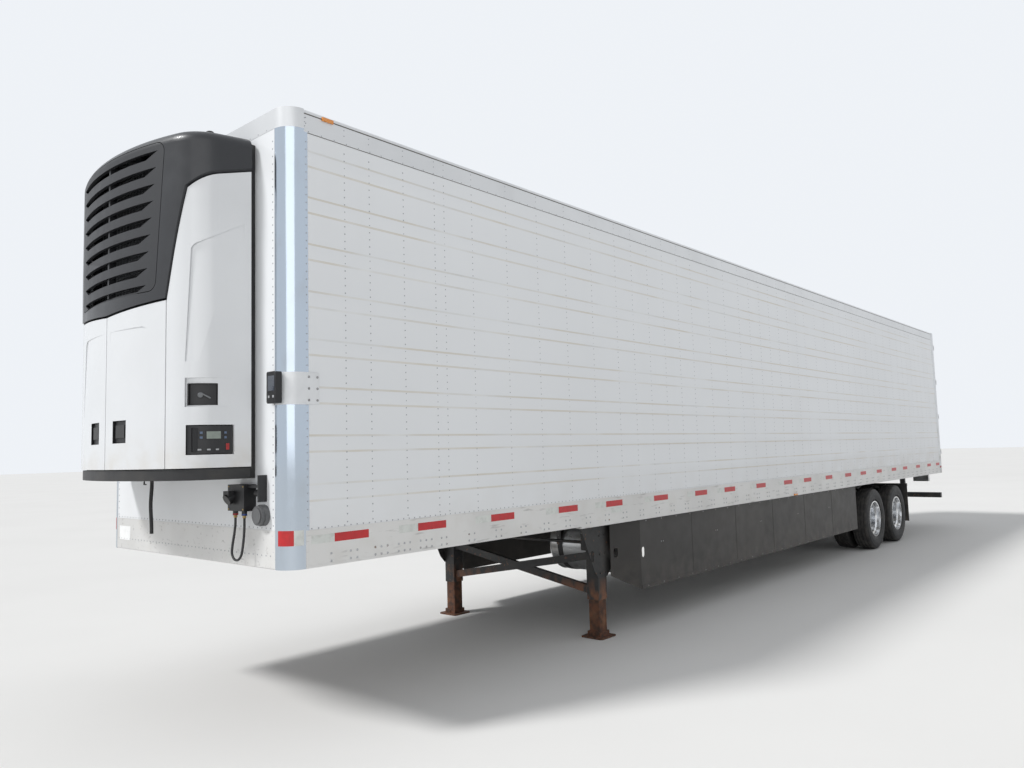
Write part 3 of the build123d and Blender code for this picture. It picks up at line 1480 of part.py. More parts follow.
# Marker lamps along the sides and header, and the tail lamps in their boxes
side_lamps = [
    # distance behind the nose, middle height, length, height
    (320, roof_z - 28, 90, 26),
    (8020, rear_rail_bottom_z + 14, 110, 26),
    (frame_setback - 90, rear_rail_bottom_z + 130, 90, 40),
]
lamp_rise = 12
lamps = []
for setback, middle_z, length, height in side_lamps:
    lamp = slab(
        (aft(setback - length / 2), aft(setback + length / 2)),
        (half_width, half_width + lamp_rise),
        (middle_z - height / 2, middle_z + height / 2),
    )
    lamps += pair(fillet(lamp.edges().group_by(Axis.Y)[-1], 5))
header_lamp_ys = (-170, 0, 170, -opening_half - 40, opening_half + 40)
for y in header_lamp_ys:
    lamp = slab((frame_x - lamp_rise, frame_x), (y - 30, y + 30), (roof_z - 52, roof_z - 26))
    lamps.append(fillet(lamp.edges().group_by(Axis.X)[0], 5))
tail_lamp_radius = 52
tail_lamp_z = sum(lamp_box_z) / 2
for index in range(2):
    y = lamp_box_y[0] + (index + 0.5) * (lamp_box_y[1] - lamp_box_y[0]) / 2
    lamps += pair(rod((lamp_box_x[0], y, tail_lamp_z), (frame_x + 2, y, tail_lamp_z), tail_lamp_radius))
save("marker_lamps", *lamps)

# Hoses: routes in (distance in front of the nose, y, z), each tube a run of straights and arcs
drain_hose_radius = 13
drain_hose_route = [
    (150, -220, unit_tray_z),
    (150, -220, unit_tray_z - 60),
    (154, -222, unit_tray_z - 125),
    (158, -221, unit_tray_z - 195),
    (155, -219, unit_tray_z - 265),
    (150, -220, unit_tray_z - 335),
    (148, -222, unit_tray_z - 400),
]
air_hose_radius = 8
left_y, right_y = coupling_ys
loop_low_z = coupling_foot_z - 285
loop_side_z = loop_low_z + 36
air_hose_route = [
    (55, left_y, coupling_foot_z),
    (55, left_y, coupling_foot_z - 55),
    (59, left_y - 3, coupling_foot_z - 105),
    (66, left_y - 6, coupling_foot_z - 155),
    (73, left_y - 8, coupling_foot_z - 203),
    (78, left_y - 7, loop_side_z),
    (80, left_y + 29, loop_low_z),
    (80, right_y - 29, loop_low_z),
    (78, right_y + 7, loop_side_z),
    (72, right_y + 8, coupling_foot_z - 203),
    (64, right_y + 6, coupling_foot_z - 155),
    (58, right_y + 3, coupling_foot_z - 105),
    (55, right_y, coupling_foot_z - 55),
    (55, right_y, coupling_foot_z),
]


def tube(route, radius):
    """A tube along straight runs joined by arcs as large as the runs allow."""
    points = [Vector(nose_x + x, y, z) for x, y, z in route]
    radii = []
    for before, here, after in zip(points, points[1:], points[2:]):
        half_turn = radians((here - before).get_angle(after - here)) / 2
        run = min((here - before).length, (after - here).length)
        radii.append(0.45 * run / tan(half_turn))
    path = FilletPolyline(*points, radius=radii)
    print("hose radii", [round(r) for r in radii], "length", round(path.length))
    start = Plane(origin=path @ 0, z_dir=path % 0)
    return sweep(start * Circle(radius), path=path)


save("drain_hose", tube(drain_hose_route, drain_hose_radius))
save("air_hose", tube(air_hose_route, air_hose_radius))
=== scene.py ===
"""Looks of the refrigerated semi trailer: its finishes, rivets, tread, lamps and small fittings.
Metres, +X forward, +Y to the trailer's left, +Z up from the ground."""

from math import cos, pi, radians, sin, sqrt

import bmesh
import bpy
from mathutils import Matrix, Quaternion, Vector


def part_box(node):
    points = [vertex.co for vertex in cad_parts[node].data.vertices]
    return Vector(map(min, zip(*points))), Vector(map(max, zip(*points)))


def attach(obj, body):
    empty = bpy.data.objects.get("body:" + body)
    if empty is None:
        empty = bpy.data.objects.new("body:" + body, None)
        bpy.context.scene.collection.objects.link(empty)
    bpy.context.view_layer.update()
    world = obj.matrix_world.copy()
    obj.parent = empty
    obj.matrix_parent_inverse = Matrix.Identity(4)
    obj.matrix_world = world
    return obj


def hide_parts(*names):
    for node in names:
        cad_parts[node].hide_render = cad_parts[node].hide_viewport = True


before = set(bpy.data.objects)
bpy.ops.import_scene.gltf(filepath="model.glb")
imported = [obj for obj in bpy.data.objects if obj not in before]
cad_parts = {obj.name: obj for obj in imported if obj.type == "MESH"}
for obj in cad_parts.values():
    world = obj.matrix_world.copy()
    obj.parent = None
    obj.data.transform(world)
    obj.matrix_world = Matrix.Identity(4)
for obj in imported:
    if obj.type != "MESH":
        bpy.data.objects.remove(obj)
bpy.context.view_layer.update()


# Camera: stands ahead of the nose on the left at eye height and looks back along the trailer
# through a wide lens, tipped up a little and leaning by a degree and a half.
def placed(name, data):
    """A new object in the scene that holds a mesh, a curve, a light or a camera."""
    made = bpy.data.objects.new(name, data)
    bpy.context.scene.collection.objects.link(made)
    return made


def aim(thing, direction, lean=0.0):
    """Turns a camera or a light to look along a direction."""
    thing.rotation_mode = "QUATERNION"
    thing.rotation_quaternion = direction.to_track_quat("-Z", "Y") @ Quaternion((0, 0, 1), lean)


camera_place = (10.5744, 5.6057, 1.8357)
camera_heading = 3.8592
camera_lift = 0.0835
camera_lean = -0.0270
lens_mm = 27.77
sensor_mm = 36.0
farthest_seen = 500
camera_data = bpy.data.cameras.new("camera")
camera_data.lens = lens_mm
camera_data.sensor_width = sensor_mm
camera_data.clip_end = farthest_seen
camera = placed("camera", camera_data)
camera.location = camera_place
level = cos(camera_lift)
sight = Vector((level * cos(camera_heading), level * sin(camera_heading), sin(camera_lift)))
aim(camera, sight, camera_lean)
bpy.context.scene.camera = camera


# Hoses: black rubber, one draining the unit's tray and one looped between two air couplings.
# Each is pushed over its stub and hangs by its own stiffness.
class Finish:
    """One finish, built up as coats over a base colour and laid out in metres on the piece."""

    def __init__(self, name, colour, roughness, metallic=0.0, coat=0.0):
        self.material = bpy.data.materials.new(name)
        self.material.use_nodes = True
        self.tree = self.material.node_tree
        self.shader = self.tree.nodes["Principled BSDF"]
        self.shader.inputs["Metallic"].default_value = metallic
        self.shader.inputs["Roughness"].default_value = roughness
        self.shader.inputs["Coat Weight"].default_value = coat
        self.shader.inputs["Base Color"].default_value = (*colour, 1)
        self.colour = (*colour, 1)
        self.normal = None
        self.place = self.add("TexCoord").outputs["Object"]

    def add(self, kind, feeds=None, **settings):
        """A shader node with its settings, fed by sockets or by plain values."""
        node = self.tree.nodes.new("ShaderNode" + kind)
        for key, value in settings.items():
            setattr(node, key, value)
        for key, value in (feeds or {}).items():
            if isinstance(value, bpy.types.NodeSocket):
                self.tree.links.new(value, node.inputs[key])
            else:
                node.inputs[key].default_value = value
        return node

    def mottle(self, size, detail=3.0, stretch=(1, 1, 1)):
        """A cloudy pattern whose patches are about `size` metres across."""
        scale = tuple(part / size for part in stretch)
        spread = self.add("Mapping", {"Vector": self.place, "Scale": scale}).outputs[0]
        return self.add("TexNoise", {"Vector": spread, "Scale": 1.0, "Detail": detail}).outputs["Fac"]

    def band(self, value, low, high, start=0.0, end=1.0):
        """Takes `value` from `start` at `low` to `end` at `high`."""
        feeds = {"Value": value, "From Min": low, "From Max": high, "To Min": start, "To Max": end}
        return self.add("MapRange", feeds, clamp=True).outputs[0]

    def reckon(self, operation, first, second=0.0):
        """Two values joined by one arithmetic step."""
        return self.add("Math", {0: first, 1: second}, operation=operation).outputs[0]

    def times(self, first, second):
        """One value weakened by another."""
        return self.reckon("MULTIPLY", first, second)

    def along(self, axis):
        """How far along an axis a point of the piece lies."""
        return self.add("SeparateXYZ", {"Vector": self.place}).outputs[axis]

    def tint(self, mask, colour):
        """Lays another colour over the finish where `mask` is high."""
        feeds = {0: mask, 6: self.colour, 7: (*colour, 1)}
        self.colour = self.add("Mix", feeds, data_type="RGBA").outputs[2]
        self.tree.links.new(self.colour, self.shader.inputs["Base Color"])

    def blotch(self, size, low, high, colour, detail=3.0, stretch=(1, 1, 1), most=1.0):
        """Lays another colour in cloudy patches about `size` metres across."""
        self.tint(self.band(self.mottle(size, detail, stretch), low, high, 0.0, most), colour)

    def shine(self, mask, low, high):
        """Varies the roughness between two values."""
        self.tree.links.new(self.band(mask, 0.0, 1.0, low, high), self.shader.inputs["Roughness"])

    def relief(self, height, depth):
        """Raises the surface by up to `depth` metres, over any relief it has."""
        feeds = {"Height": height, "Distance": depth, "Strength": 1.0}
        if self.normal:
            feeds["Normal"] = self.normal
        self.normal = self.add("Bump", feeds).outputs[0]
        self.tree.links.new(self.normal, self.shader.inputs["Normal"])


def coated(name, colour, roughness, metallic=0, coat=0, patch=0.5, grain=0.004, depth=0.0002, wear=1):
    """A finish with faint cloudy patches, a fine grain and a shine that `wear` makes uneven."""
    made = Finish(name, colour, roughness, metallic, coat)
    darker = tuple(part * (1 - 0.14 * wear) for part in colour)
    made.blotch(patch, 0.42, 0.72, darker)
    glossiest, dullest = max(roughness - 0.1 * wear, 0.03), min(roughness + 0.12 * wear, 1.0)
    made.shine(made.mottle(patch / 6, 4.0), glossiest, dullest)
    made.relief(made.mottle(grain, 2.0), depth)
    return made


def coat_node(finish, *nodes):
    """Puts a finish on pieces of the frame."""
    for name in nodes:
        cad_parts[name].material_slots[0].material = finish.material


nose_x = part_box("corner_posts")[1].x
half_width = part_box("side_wall_left")[1].y + 0.003
tray_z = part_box("unit_frame")[0].z
hose_rubber = coated("hose_rubber", (0.018, 0.018, 0.019), 0.55, grain=0.002)
hose_rubber.blotch(0.05, 0.5, 0.8, (0.05, 0.047, 0.042))
left_coupling_y = half_width - 0.515
right_coupling_y = half_width - 0.405
coupling_foot_z = tray_z - 0.240
hoses = {
    # name: diameter, length, far end, and the line's distances from nose, middle and ground
    "drain_hose": (
        0.026,
        0.401,
        "bare",
        [
            (0.150, -0.220, tray_z),
            (0.150, -0.220, tray_z - 0.060),
            (0.154, -0.222, tray_z - 0.125),
            (0.158, -0.221, tray_z - 0.195),
            (0.155, -0.219, tray_z - 0.265),
            (0.150, -0.220, tray_z - 0.335),
            (0.148, -0.222, tray_z - 0.400),
        ],
    ),
    "air_hose": (
        0.016,
        0.646,
        "object",
        [
            (0.055, left_coupling_y, coupling_foot_z),
            (0.055, left_coupling_y, coupling_foot_z - 0.055),
            (0.059, left_coupling_y - 0.003, coupling_foot_z - 0.105),
            (0.066, left_coupling_y - 0.006, coupling_foot_z - 0.155),
            (0.073, left_coupling_y - 0.008, coupling_foot_z - 0.203),
            (0.078, left_coupling_y - 0.007, coupling_foot_z - 0.249),
            (0.080, left_coupling_y + 0.029, coupling_foot_z - 0.285),
            (0.080, right_coupling_y - 0.029, coupling_foot_z - 0.285),
            (0.078, right_coupling_y + 0.007, coupling_foot_z - 0.249),
            (0.072, right_coupling_y + 0.008, coupling_foot_z - 0.203),
            (0.064, right_coupling_y + 0.006, coupling_foot_z - 0.155),
            (0.058, right_coupling_y + 0.003, coupling_foot_z - 0.105),
            (0.055, right_coupling_y, coupling_foot_z - 0.055),
            (0.055, right_coupling_y, coupling_foot_z),
        ],
    ),
}
for name, (diameter, length, far_end, route) in hoses.items():
    line = bpy.data.curves.new(name + "_rubber", "CURVE")
    line.dimensions = "3D"
    line.bevel_depth = diameter / 2
    line.bevel_resolution = 5
    line.use_fill_caps = True
    line.resolution_u = 16
    spline = line.splines.new("NURBS")
    spline.points.add(len(route) - 1)
    for point, (x, y, z) in zip(spline.points, route):
        point.co = (nose_x + x, y, z, 1)
    spline.order_u = 3
    spline.use_endpoint_u = True
    line.materials.append(hose_rubber.material)
    hose = placed(name + "_rubber", line)
    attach(hose, "trailer")
    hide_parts(name)

# Studio: a plain pale floor under an even sky, with one broad soft lamp high ahead on the right
# and two wide light boxes that the polished metal mirrors.
floor_colour = (0.80, 0.79, 0.77)
floor_reach = 150
studio_floor = bpy.data.meshes.new("studio_floor")
corners = [(-1, -1), (1, -1), (1, 1), (-1, 1)]
studio_floor.from_pydata([(x * floor_reach, y * floor_reach, 0) for x, y in corners], [], [(0, 1, 2, 3)])
floor_finish = Finish("studio_floor", floor_colour, 0.85)
floor_finish.blotch(3.0, 0.4, 0.7, (0.78, 0.77, 0.75))
studio_floor.materials.append(floor_finish.material)
placed("studio_floor", studio_floor)

world = bpy.data.worlds.new("studio")
world.use_nodes = True
bpy.context.scene.world = world
sky = world.node_tree
sky_light = sky.nodes["Background"]
sky_light.inputs["Color"].default_value = (0.93, 0.96, 1.0, 1)
sky_light.inputs["Strength"].default_value = 0.48
sky_seen = sky.nodes.new("ShaderNodeBackground")
sky_seen.inputs["Color"].default_value = (0.86, 0.89, 0.93, 1)
sky_seen.inputs["Strength"].default_value = 1.0
ray = sky.nodes.new("ShaderNodeLightPath")
clear_ray = ray.outputs["Is Camera Ray"]
for kind in ("Is Glossy Ray", "Is Transmission Ray"):
    either = sky.nodes.new("ShaderNodeMath")
    either.operation = "MAXIMUM"
    sky.links.new(clear_ray, either.inputs[0])
    sky.links.new(ray.outputs[kind], either.inputs[1])
    clear_ray = either.outputs[0]
pick = sky.nodes.new("ShaderNodeMixShader")
sky.links.new(clear_ray, pick.inputs[0])
sky.links.new(sky_light.outputs[0], pick.inputs[1])
sky.links.new(sky_seen.outputs[0], pick.inputs[2])
sky.links.new(pick.outputs[0], sky.nodes["World Output"].inputs["Surface"])

key_data = bpy.data.lights.new("key", "SUN")
key_data.energy = 2.35
key_data.angle = radians(10)
key_runs = (-0.62, 0.30, -0.72)
aim(placed("key", key_data), Vector(key_runs))
for name, place, target, size, power in (
    ("box_ahead", (17, 10, 7), (6, 0, 2), 11.0, 330),
    ("box_behind", (-20, 13, 8), (-6, 0, 2), 14.0, 200),
):
    light = bpy.data.lights.new(name, "AREA")
    light.size = size
    light.energy = power
    lamp = placed(name, light)
    lamp.location = place
    aim(lamp, Vector(target) - Vector(place))
bpy.context.scene.view_settings.view_transform = "Standard"


# Underframe: an extruded duct floor on I-beam cross members of mill aluminium, dusty from the
# road, with a steel coupler plate riveted in under the nose round its greased kingpin.
class Mould:
    """Gathers the faces of one piece, each with the number of its finish."""

    def __init__(self):
        self.points = []
        self.faces = []
        self.picks = []

    def add(self, points, faces, pick=0):
        """Faces given by the numbers of their own points."""
        base = len(self.points)
        self.points += [tuple(point) for point in points]
        self.faces += [tuple(base + corner for corner in face) for face in faces]
        self.picks += [pick] * len(faces)
        return self

    def block(self, x, y, z, pick=0):
        """A block between two values along each axis."""
        spans = [sorted(ends) for ends in (x, y, z)]
        points = [(i, j, k) for k in spans[2] for j in spans[1] for i in spans[0]]
        faces = [(0, 2, 3, 1), (4, 5, 7, 6), (0, 1, 5, 4), (2, 6, 7, 3), (0, 4, 6, 2), (1, 3, 7, 5)]
        return self.add(points, faces, pick)

    def drawn(self, outline, start, end, pick=0, side_picks=None):
        """A closed outline of points moved from `start` to `end`, capped at both ends."""
        count = len(outline)
        start, end = Vector(start), Vector(end)
        points = [Vector(p) + start for p in outline] + [Vector(p) + end for p in outline]
        for index in range(count):
            after = (index + 1) % count
            corner = (index, after, after + count, index + count)
            self.add([points[c] for c in corner], [(0, 1, 2, 3)], side_picks[index] if side_picks else pick)
        self.add(points[:count], [tuple(reversed(range(count)))], pick)
        return self.add(points[count:], [tuple(range(count))], pick)

    def turned(self, profile, centre, axis, sides=24, pick=0):
        """(distance along the axis, radius) points turned about an axis through `centre`."""
        axis = Vector(axis).normalized()
        across = axis.orthogonal().normalized()
        beside = axis.cross(across)
        points = []
        for along, radius in profile:
            for step in range(sides):
                turn = 2 * pi * step / sides
                spoke = across * cos(turn) + beside * sin(turn)
                points.append(Vector(centre) + axis * along + spoke * radius)
        faces = []
        for ring in range(len(profile) - 1):
            for step in range(sides):
                after = (step + 1) % sides
                low, high = ring * sides, (ring + 1) * sides
                faces.append((low + step, low + after, high + after, high + step))
        faces.append(tuple(reversed(range(sides))))
        faces.append(tuple(range((len(profile) - 1) * sides, len(profile) * sides)))
        return self.add(points, faces, pick)

    def heads(self, places, out, radius, height, sides=6, pick=0):
        """Low domed heads of rivets, or of bolts with six sides, at many places."""
        profile = [(-0.0006, radius), (height * 0.45, radius * 0.96), (height, radius * 0.6)]
        for place in places:
            self.turned(profile, place, out, sides, pick)
        return self

    def bar(self, start, end, radius, sides=10, pick=0):
        """A round bar between two points."""
        run = Vector(end) - Vector(start)
        return self.turned([(0, radius), (run.length, radius)], start, run, sides, pick)

    def make(self, name, finishes, body, slot, bevel=0.0, soft=32):
        """Makes the piece, rounds its edges and fastens it to its body."""
        mesh = bpy.data.meshes.new(name)
        mesh.from_pydata(self.points, [], self.faces)
        for finish in finishes:
            mesh.materials.append(finish.material)
        mesh.polygons.foreach_set("material_index", self.picks)
        shaped = bmesh.new()
        shaped.from_mesh(mesh)
        bmesh.ops.remove_doubles(shaped, verts=shaped.verts, dist=0.00001)
        bmesh.ops.recalc_face_normals(shaped, faces=shaped.faces)
        for face in shaped.faces:
            face.smooth = True
        for edge in shaped.edges:
            edge.smooth = len(edge.link_faces) == 2 and edge.calc_face_angle(4.0) < radians(soft)
        shaped.to_mesh(mesh)
        shaped.free()
        piece = placed(name, mesh)
        if bevel:
            rounding = piece.modifiers.new("rounding", "BEVEL")
            rounding.width = bevel
            rounding.segments = 2
            rounding.limit_method = "ANGLE"
            rounding.angle_limit = radians(40)
        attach(piece, body)
        return piece


def aft(distance):
    """The X of a place this far behind the nose."""
    return nose_x - distance


def row(first, step, count):
    """Places in a straight row, each one `step` on from the last."""
    return [tuple(start + move * number for start, move in zip(first, step)) for number in range(count)]


mill_aluminium = coated("mill_aluminium", (0.60, 0.61, 0.62), 0.42, 0.85, grain=0.003)
mill_aluminium.blotch(0.35, 0.45, 0.75, (0.30, 0.27, 0.23), 5.0)
coat_node(mill_aluminium, "floor", "cross_members")
coupler_steel = coated("coupler_steel", (0.10, 0.09, 0.085), 0.5, 0.6, patch=0.3)
coupler_steel.blotch(0.12, 0.52, 0.7, (0.20, 0.10, 0.05), 5.0)
coat_node(coupler_steel, "upper_coupler")
pin_steel = coated("pin_steel", (0.46, 0.45, 0.44), 0.3, 1.0, patch=0.05, grain=0.001)
pin_steel.blotch(0.03, 0.55, 0.7, (0.08, 0.07, 0.06), 4.0)
coat_node(pin_steel, "kingpin")
plate_low_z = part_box("upper_coupler")[0].z
coupler_rivet = (0.011, 0.005, 8)
coupler_rivet_pitch = 0.1
coupler_rows = (-1.05, -0.75, -0.45, 0.45, 0.75, 1.05)
coupler_rivets = Mould()
for y in coupler_rows:
    places = row((aft(0.12), y, plate_low_z), (-coupler_rivet_pitch, 0, 0), 13)
    coupler_rivets.heads(places, (0, 0, -1), *coupler_rivet)
coupler_rivets.make("coupler_rivets", [coupler_steel], "trailer", "coupler_steel")

# Side walls: white painted aluminium sheets with shallow pressed bands, lapped and riveted to
# posts that stand an uneven foot apart. Old sealant has stained the edges of the bands.
rail_top_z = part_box("bottom_rails")[1].z
top_rail_low_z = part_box("top_rails")[0].z
body_rear_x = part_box("side_wall_left")[0].x
wall_white = coated("wall_white", (0.79, 0.805, 0.82), 0.40, coat=0.12, patch=2.2, grain=0.006, wear=0.25)
low_on_wall = wall_white.band(wall_white.along("Z"), 1.75, 1.36)
toward_rear = wall_white.band(wall_white.along("X"), 1.0, -6.0, 0.25, 1.0)
grime = wall_white.times(low_on_wall, wall_white.band(wall_white.mottle(0.25, 5.0), 0.35, 0.75))
grime = wall_white.times(grime, toward_rear)
wall_white.tint(wall_white.times(grime, 0.5), (0.50, 0.46, 0.40))
streak = wall_white.band(wall_white.mottle(0.5, 4.0, (1.0, 1.0, 0.08)), 0.52, 0.80, 0.0, 0.22)
wall_white.tint(streak, (0.70, 0.71, 0.72))
stained_edge = coated("stained_edge", (0.76, 0.77, 0.77), 0.45, patch=0.4)
stain = stained_edge.band(stained_edge.mottle(0.35, 4.0, (0.5, 1, 1)), 0.38, 0.62)
stained_edge.tint(stain, (0.66, 0.63, 0.57))
rivet_grey = coated("rivet_grey", (0.36, 0.37, 0.39), 0.45, 0.3, patch=0.2)
coat_node(wall_white, "front_wall", "side_wall_left", "side_wall_right", "roof")
band_count = 8
band_low_z = 1.548
band_pitch = 0.3121
band_height = 0.104
band_rise = 0.0017
band_slope = 0.007
lap_step = 0.0006
lap_width = 0.02
wall_length = nose_x - body_rear_x
sheet_joints = [0.161, 1.349, 4.974, 8.62, 12.27, wall_length]
skin_y = half_width - 0.0028
skin_back_y = half_width - 0.0031
skin_foot_z = rail_top_z + 0.001
sides = ((1, "left"), (-1, "right"))


def wall_outline(side, out):
    """One sheet's outline in (y, z), up its face and down its back, with a finish for each edge."""
    outline = [(skin_y + out, skin_foot_z)]
    picks = []
    for index in range(band_count):
        low = band_low_z + index * band_pitch
        for z, rise in (
            (low - band_slope, 0),
            (low + band_slope, band_rise),
            (low + band_height - band_slope, band_rise),
            (low + band_height + band_slope, 0),
        ):
            outline.append((skin_y + out + rise, z))
        picks += [0, 1, 0, 1]
    outline.append((skin_y + out, top_rail_low_z))
    outline += [(skin_back_y, top_rail_low_z), (skin_back_y, skin_foot_z)]
    return [(0, side * y, z) for y, z in outline], picks + [0, 0, 0, 0]


post_setbacks = [0.149, 0.458, 0.671, 0.986, 1.298, 1.400, 1.709, 2.123, 2.531, 2.933, 3.341, 3.755]
post_steps = [0.306, 0.309, 0.300, 0.304, 0.313, 0.320, 0.309, 0.414, 0.408, 0.402]
while post_setbacks[-1] < wall_length - 0.35:
    post_setbacks.append(post_setbacks[-1] + post_steps[len(post_setbacks) % len(post_steps)])
wall_rivet = (0.0052, 0.0022)
rivet_pitch = 0.051
post_rows = int((top_rail_low_z - rail_top_z - 0.04) / rivet_pitch)
foot_rivets = int((wall_length - 0.2) / rivet_pitch)
for side, label in sides:
    sheets = Mould()
    for index, (front, rear) in enumerate(zip(sheet_joints, sheet_joints[1:])):
        outline, picks = wall_outline(side, lap_step * (index % 2))
        lap = lap_width if index else 0
        sheets.drawn(outline, (aft(front - lap), 0, 0), (aft(rear), 0, 0), 0, picks)
    sheets.make(f"side_sheets_{label}", [wall_white, stained_edge], "trailer", "white_panel")
    rivets = Mould()
    face_y = side * (skin_y + 0.0004)
    for setback in post_setbacks:
        column_y = side * half_width if setback == post_setbacks[0] else face_y
        column = row((aft(setback), column_y, rail_top_z + 0.03), (0, 0, rivet_pitch), post_rows)
        rivets.heads(column, (0, side, 0), *wall_rivet)
    foot_row = row((aft(0.18), face_y, rail_top_z + 0.008), (-rivet_pitch, 0, 0), foot_rivets)
    rivets.heads(foot_row, (0, side, 0), *wall_rivet)
    rivets.make(f"side_rivets_{label}", [rivet_grey], "trailer", "white_panel")

# Roof: one white sheet drawn tight over bows two feet apart, each of which shows as a low bead.
# A row of rivets holds it down along each edge.
roof_top_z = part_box("top_rails")[1].z
roof_skin_z = roof_top_z - 0.0032
roof_back_z = roof_top_z - 0.0045
roof_front = aft(0.14)
roof_half = half_width - 0.068
roof_length = roof_front - body_rear_x
bow_pitch = 0.61
first_bow_x = roof_front - 0.3
bead_shape = ((0.03, 0.0), (0.012, 0.0016), (-0.012, 0.0016), (-0.03, 0.0))
roof_outline = [(roof_front, 0, roof_skin_z)]
for index in range(int(roof_length / bow_pitch)):
    bow_x = first_bow_x - index * bow_pitch
    roof_outline += [(bow_x + offset, 0, roof_skin_z + rise) for offset, rise in bead_shape]
roof_outline += [(body_rear_x, 0, roof_skin_z), (body_rear_x, 0, roof_back_z), (roof_front, 0, roof_back_z)]
roof_sheet = Mould().drawn(roof_outline, (0, -roof_half, 0), (0, roof_half, 0))
roof_sheet.make("roof_sheet", [wall_white], "trailer", "white_panel")
roof_rivet = (0.005, 0.002)
roof_rivet_pitch = 0.1
roof_rivets = Mould()
for side in (-1, 1):
    first = (roof_front - 0.05, side * (roof_half - 0.008), roof_skin_z)
    places = row(first, (-roof_rivet_pitch, 0, 0), int(roof_length / roof_rivet_pitch))
    roof_rivets.heads(places, (0, 0, 1), *roof_rivet)
roof_rivets.make("roof_rivets", [rivet_grey], "trailer", "white_panel")

# Nose: a flat white sheet riveted to the corner posts, over a folded bottom rail with scuffed
# paint. A paler patch covers an old repair, and a black wire hook hangs below the tray.
nose_face_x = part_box("front_wall")[1].x
floor_top_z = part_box("nose_bottom_rail")[1].z
nose_cap_low_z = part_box("nose_top_rail")[0].z
nose_half = half_width - 0.138
sheet_face_x = nose_face_x + 0.0018
sheet_z = (floor_top_z + 0.001, nose_cap_low_z - 0.001)
nose_sheet = Mould().block((nose_face_x - 0.0002, sheet_face_x), (-nose_half, nose_half), sheet_z)
nose_sheet.make("nose_sheet", [wall_white], "trailer", "white_panel")
rail_white = coated("rail_white", (0.70, 0.695, 0.68), 0.4, 0.1, 0.1, patch=0.7)
rail_white.blotch(0.18, 0.5, 0.85, (0.58, 0.56, 0.52), 5.0, most=0.5)
scuffs = rail_white.mottle(0.05, 4.0, (0.25, 1.0, 1.6))
rail_white.tint(rail_white.band(scuffs, 0.60, 0.72, 0.0, 0.75), (0.40, 0.39, 0.38))
coat_node(rail_white, "nose_bottom_rail", "bottom_rails")
nose_rivets = Mould()
nose_rows = int((nose_cap_low_z - floor_top_z - 0.05) / rivet_pitch)
for y in (-nose_half + 0.02, nose_half - 0.02):
    column = row((sheet_face_x, y, floor_top_z + 0.03), (0, 0, rivet_pitch), nose_rows)
    nose_rivets.heads(column, (1, 0, 0), *wall_rivet)
for x, z in ((sheet_face_x, floor_top_z + 0.012), (nose_x, floor_top_z - 0.16)):
    across = row((x, -nose_half + 0.03, z), (0, rivet_pitch, 0), int(2 * nose_half / rivet_pitch))
    nose_rivets.heads(across, (1, 0, 0), *wall_rivet)
nose_rivets.make("nose_rivets", [rivet_grey], "trailer", "white_panel")
patch_white = coated("patch_white", (0.88, 0.885, 0.88), 0.3, patch=0.1)
patch_y = (-1.12, -0.92)
patch_z = (1.20, 1.31)
nose_patch = Mould().block((nose_x, nose_x + 0.0014), patch_y, patch_z)
nose_patch.make("nose_patch", [patch_white], "trailer", "white_panel", 0.0006)
hook_black = coated("hook_black", (0.03, 0.03, 0.03), 0.5, 0.3, patch=0.1)
hook_x, hook_y = nose_x + 0.10, -0.46
hook_foot_z = tray_z - 0.048
hook_wire = 0.005
nose_hook = Mould()
nose_hook.bar((hook_x, hook_y, tray_z), (hook_x, hook_y, hook_foot_z - 0.002), hook_wire)
nose_hook.bar((hook_x, hook_y - 0.005, hook_foot_z), (hook_x, hook_y + 0.03, hook_foot_z), hook_wire)
nose_hook.make("nose_hook", [hook_black], "trailer", "black_steel")

# Corner posts: quarter rounds of polished stainless steel with a bright trim strip, taped at
# the foot. The mirror finish is a little wavy and has fine upright polishing lines.
# The steel's colour is tinted a darker blue-grey: a painted reflection of the sky on the mirror finish.
polished_steel = Finish("polished_steel", (0.50, 0.56, 0.63), 0.09, 1.0)
polish_lines = polished_steel.mottle(0.004, 2.0, (1.0, 1.0, 0.02))
polished_steel.relief(polished_steel.mottle(0.35, 2.0, (1.0, 1.0, 0.5)), 0.004)
polished_steel.relief(polish_lines, 0.00004)
polished_steel.shine(polished_steel.mottle(0.1, 4.0), 0.08, 0.2)
smudge = polished_steel.band(polished_steel.mottle(0.12, 5.0, (1, 1, 0.4)), 0.58, 0.80, 0.0, 0.3)
polished_steel.tint(smudge, (0.42, 0.43, 0.44))
coat_node(polished_steel, "corner_posts")
tape_red = coated("tape_red", (0.52, 0.018, 0.022), 0.35, patch=0.05, grain=0.004, depth=0.0003)
tape_white = coated("tape_white", (0.66, 0.68, 0.65), 0.35, patch=0.05, grain=0.004, depth=0.0003)
for tape, worn in ((tape_red, (0.34, 0.03, 0.03)), (tape_white, (0.52, 0.52, 0.49))):
    tape.blotch(0.03, 0.52, 0.8, worn, 4.0)
corner_radius = 0.135
tape_z = (1.275, 1.330)
tape_skin = 0.0009
tape_start = 12
part_angle = 9.0
step_angle = 2.99
part_count, red_parts = 8, 5
corner_tape = Mould()
for side in (-1, 1):
    centre = Vector((aft(corner_radius), side * (half_width - corner_radius), 0))
    for part in range(part_count):
        turns = [radians(tape_start + part_angle * part + step_angle * step) for step in range(4)]
        outline = []
        for radius in (corner_radius, corner_radius + tape_skin):
            ring = [(radius * cos(turn), side * radius * sin(turn), 0) for turn in turns]
            outline += ring if radius == corner_radius else ring[::-1]
        foot = centre + Vector((0, 0, tape_z[0]))
        head = centre + Vector((0, 0, tape_z[1] + 0.04))
        corner_tape.drawn(outline, foot, head, 0 if part < red_parts else 1)
corner_tape.make("corner_tape", [tape_red, tape_white], "trailer", "lamp_lens")

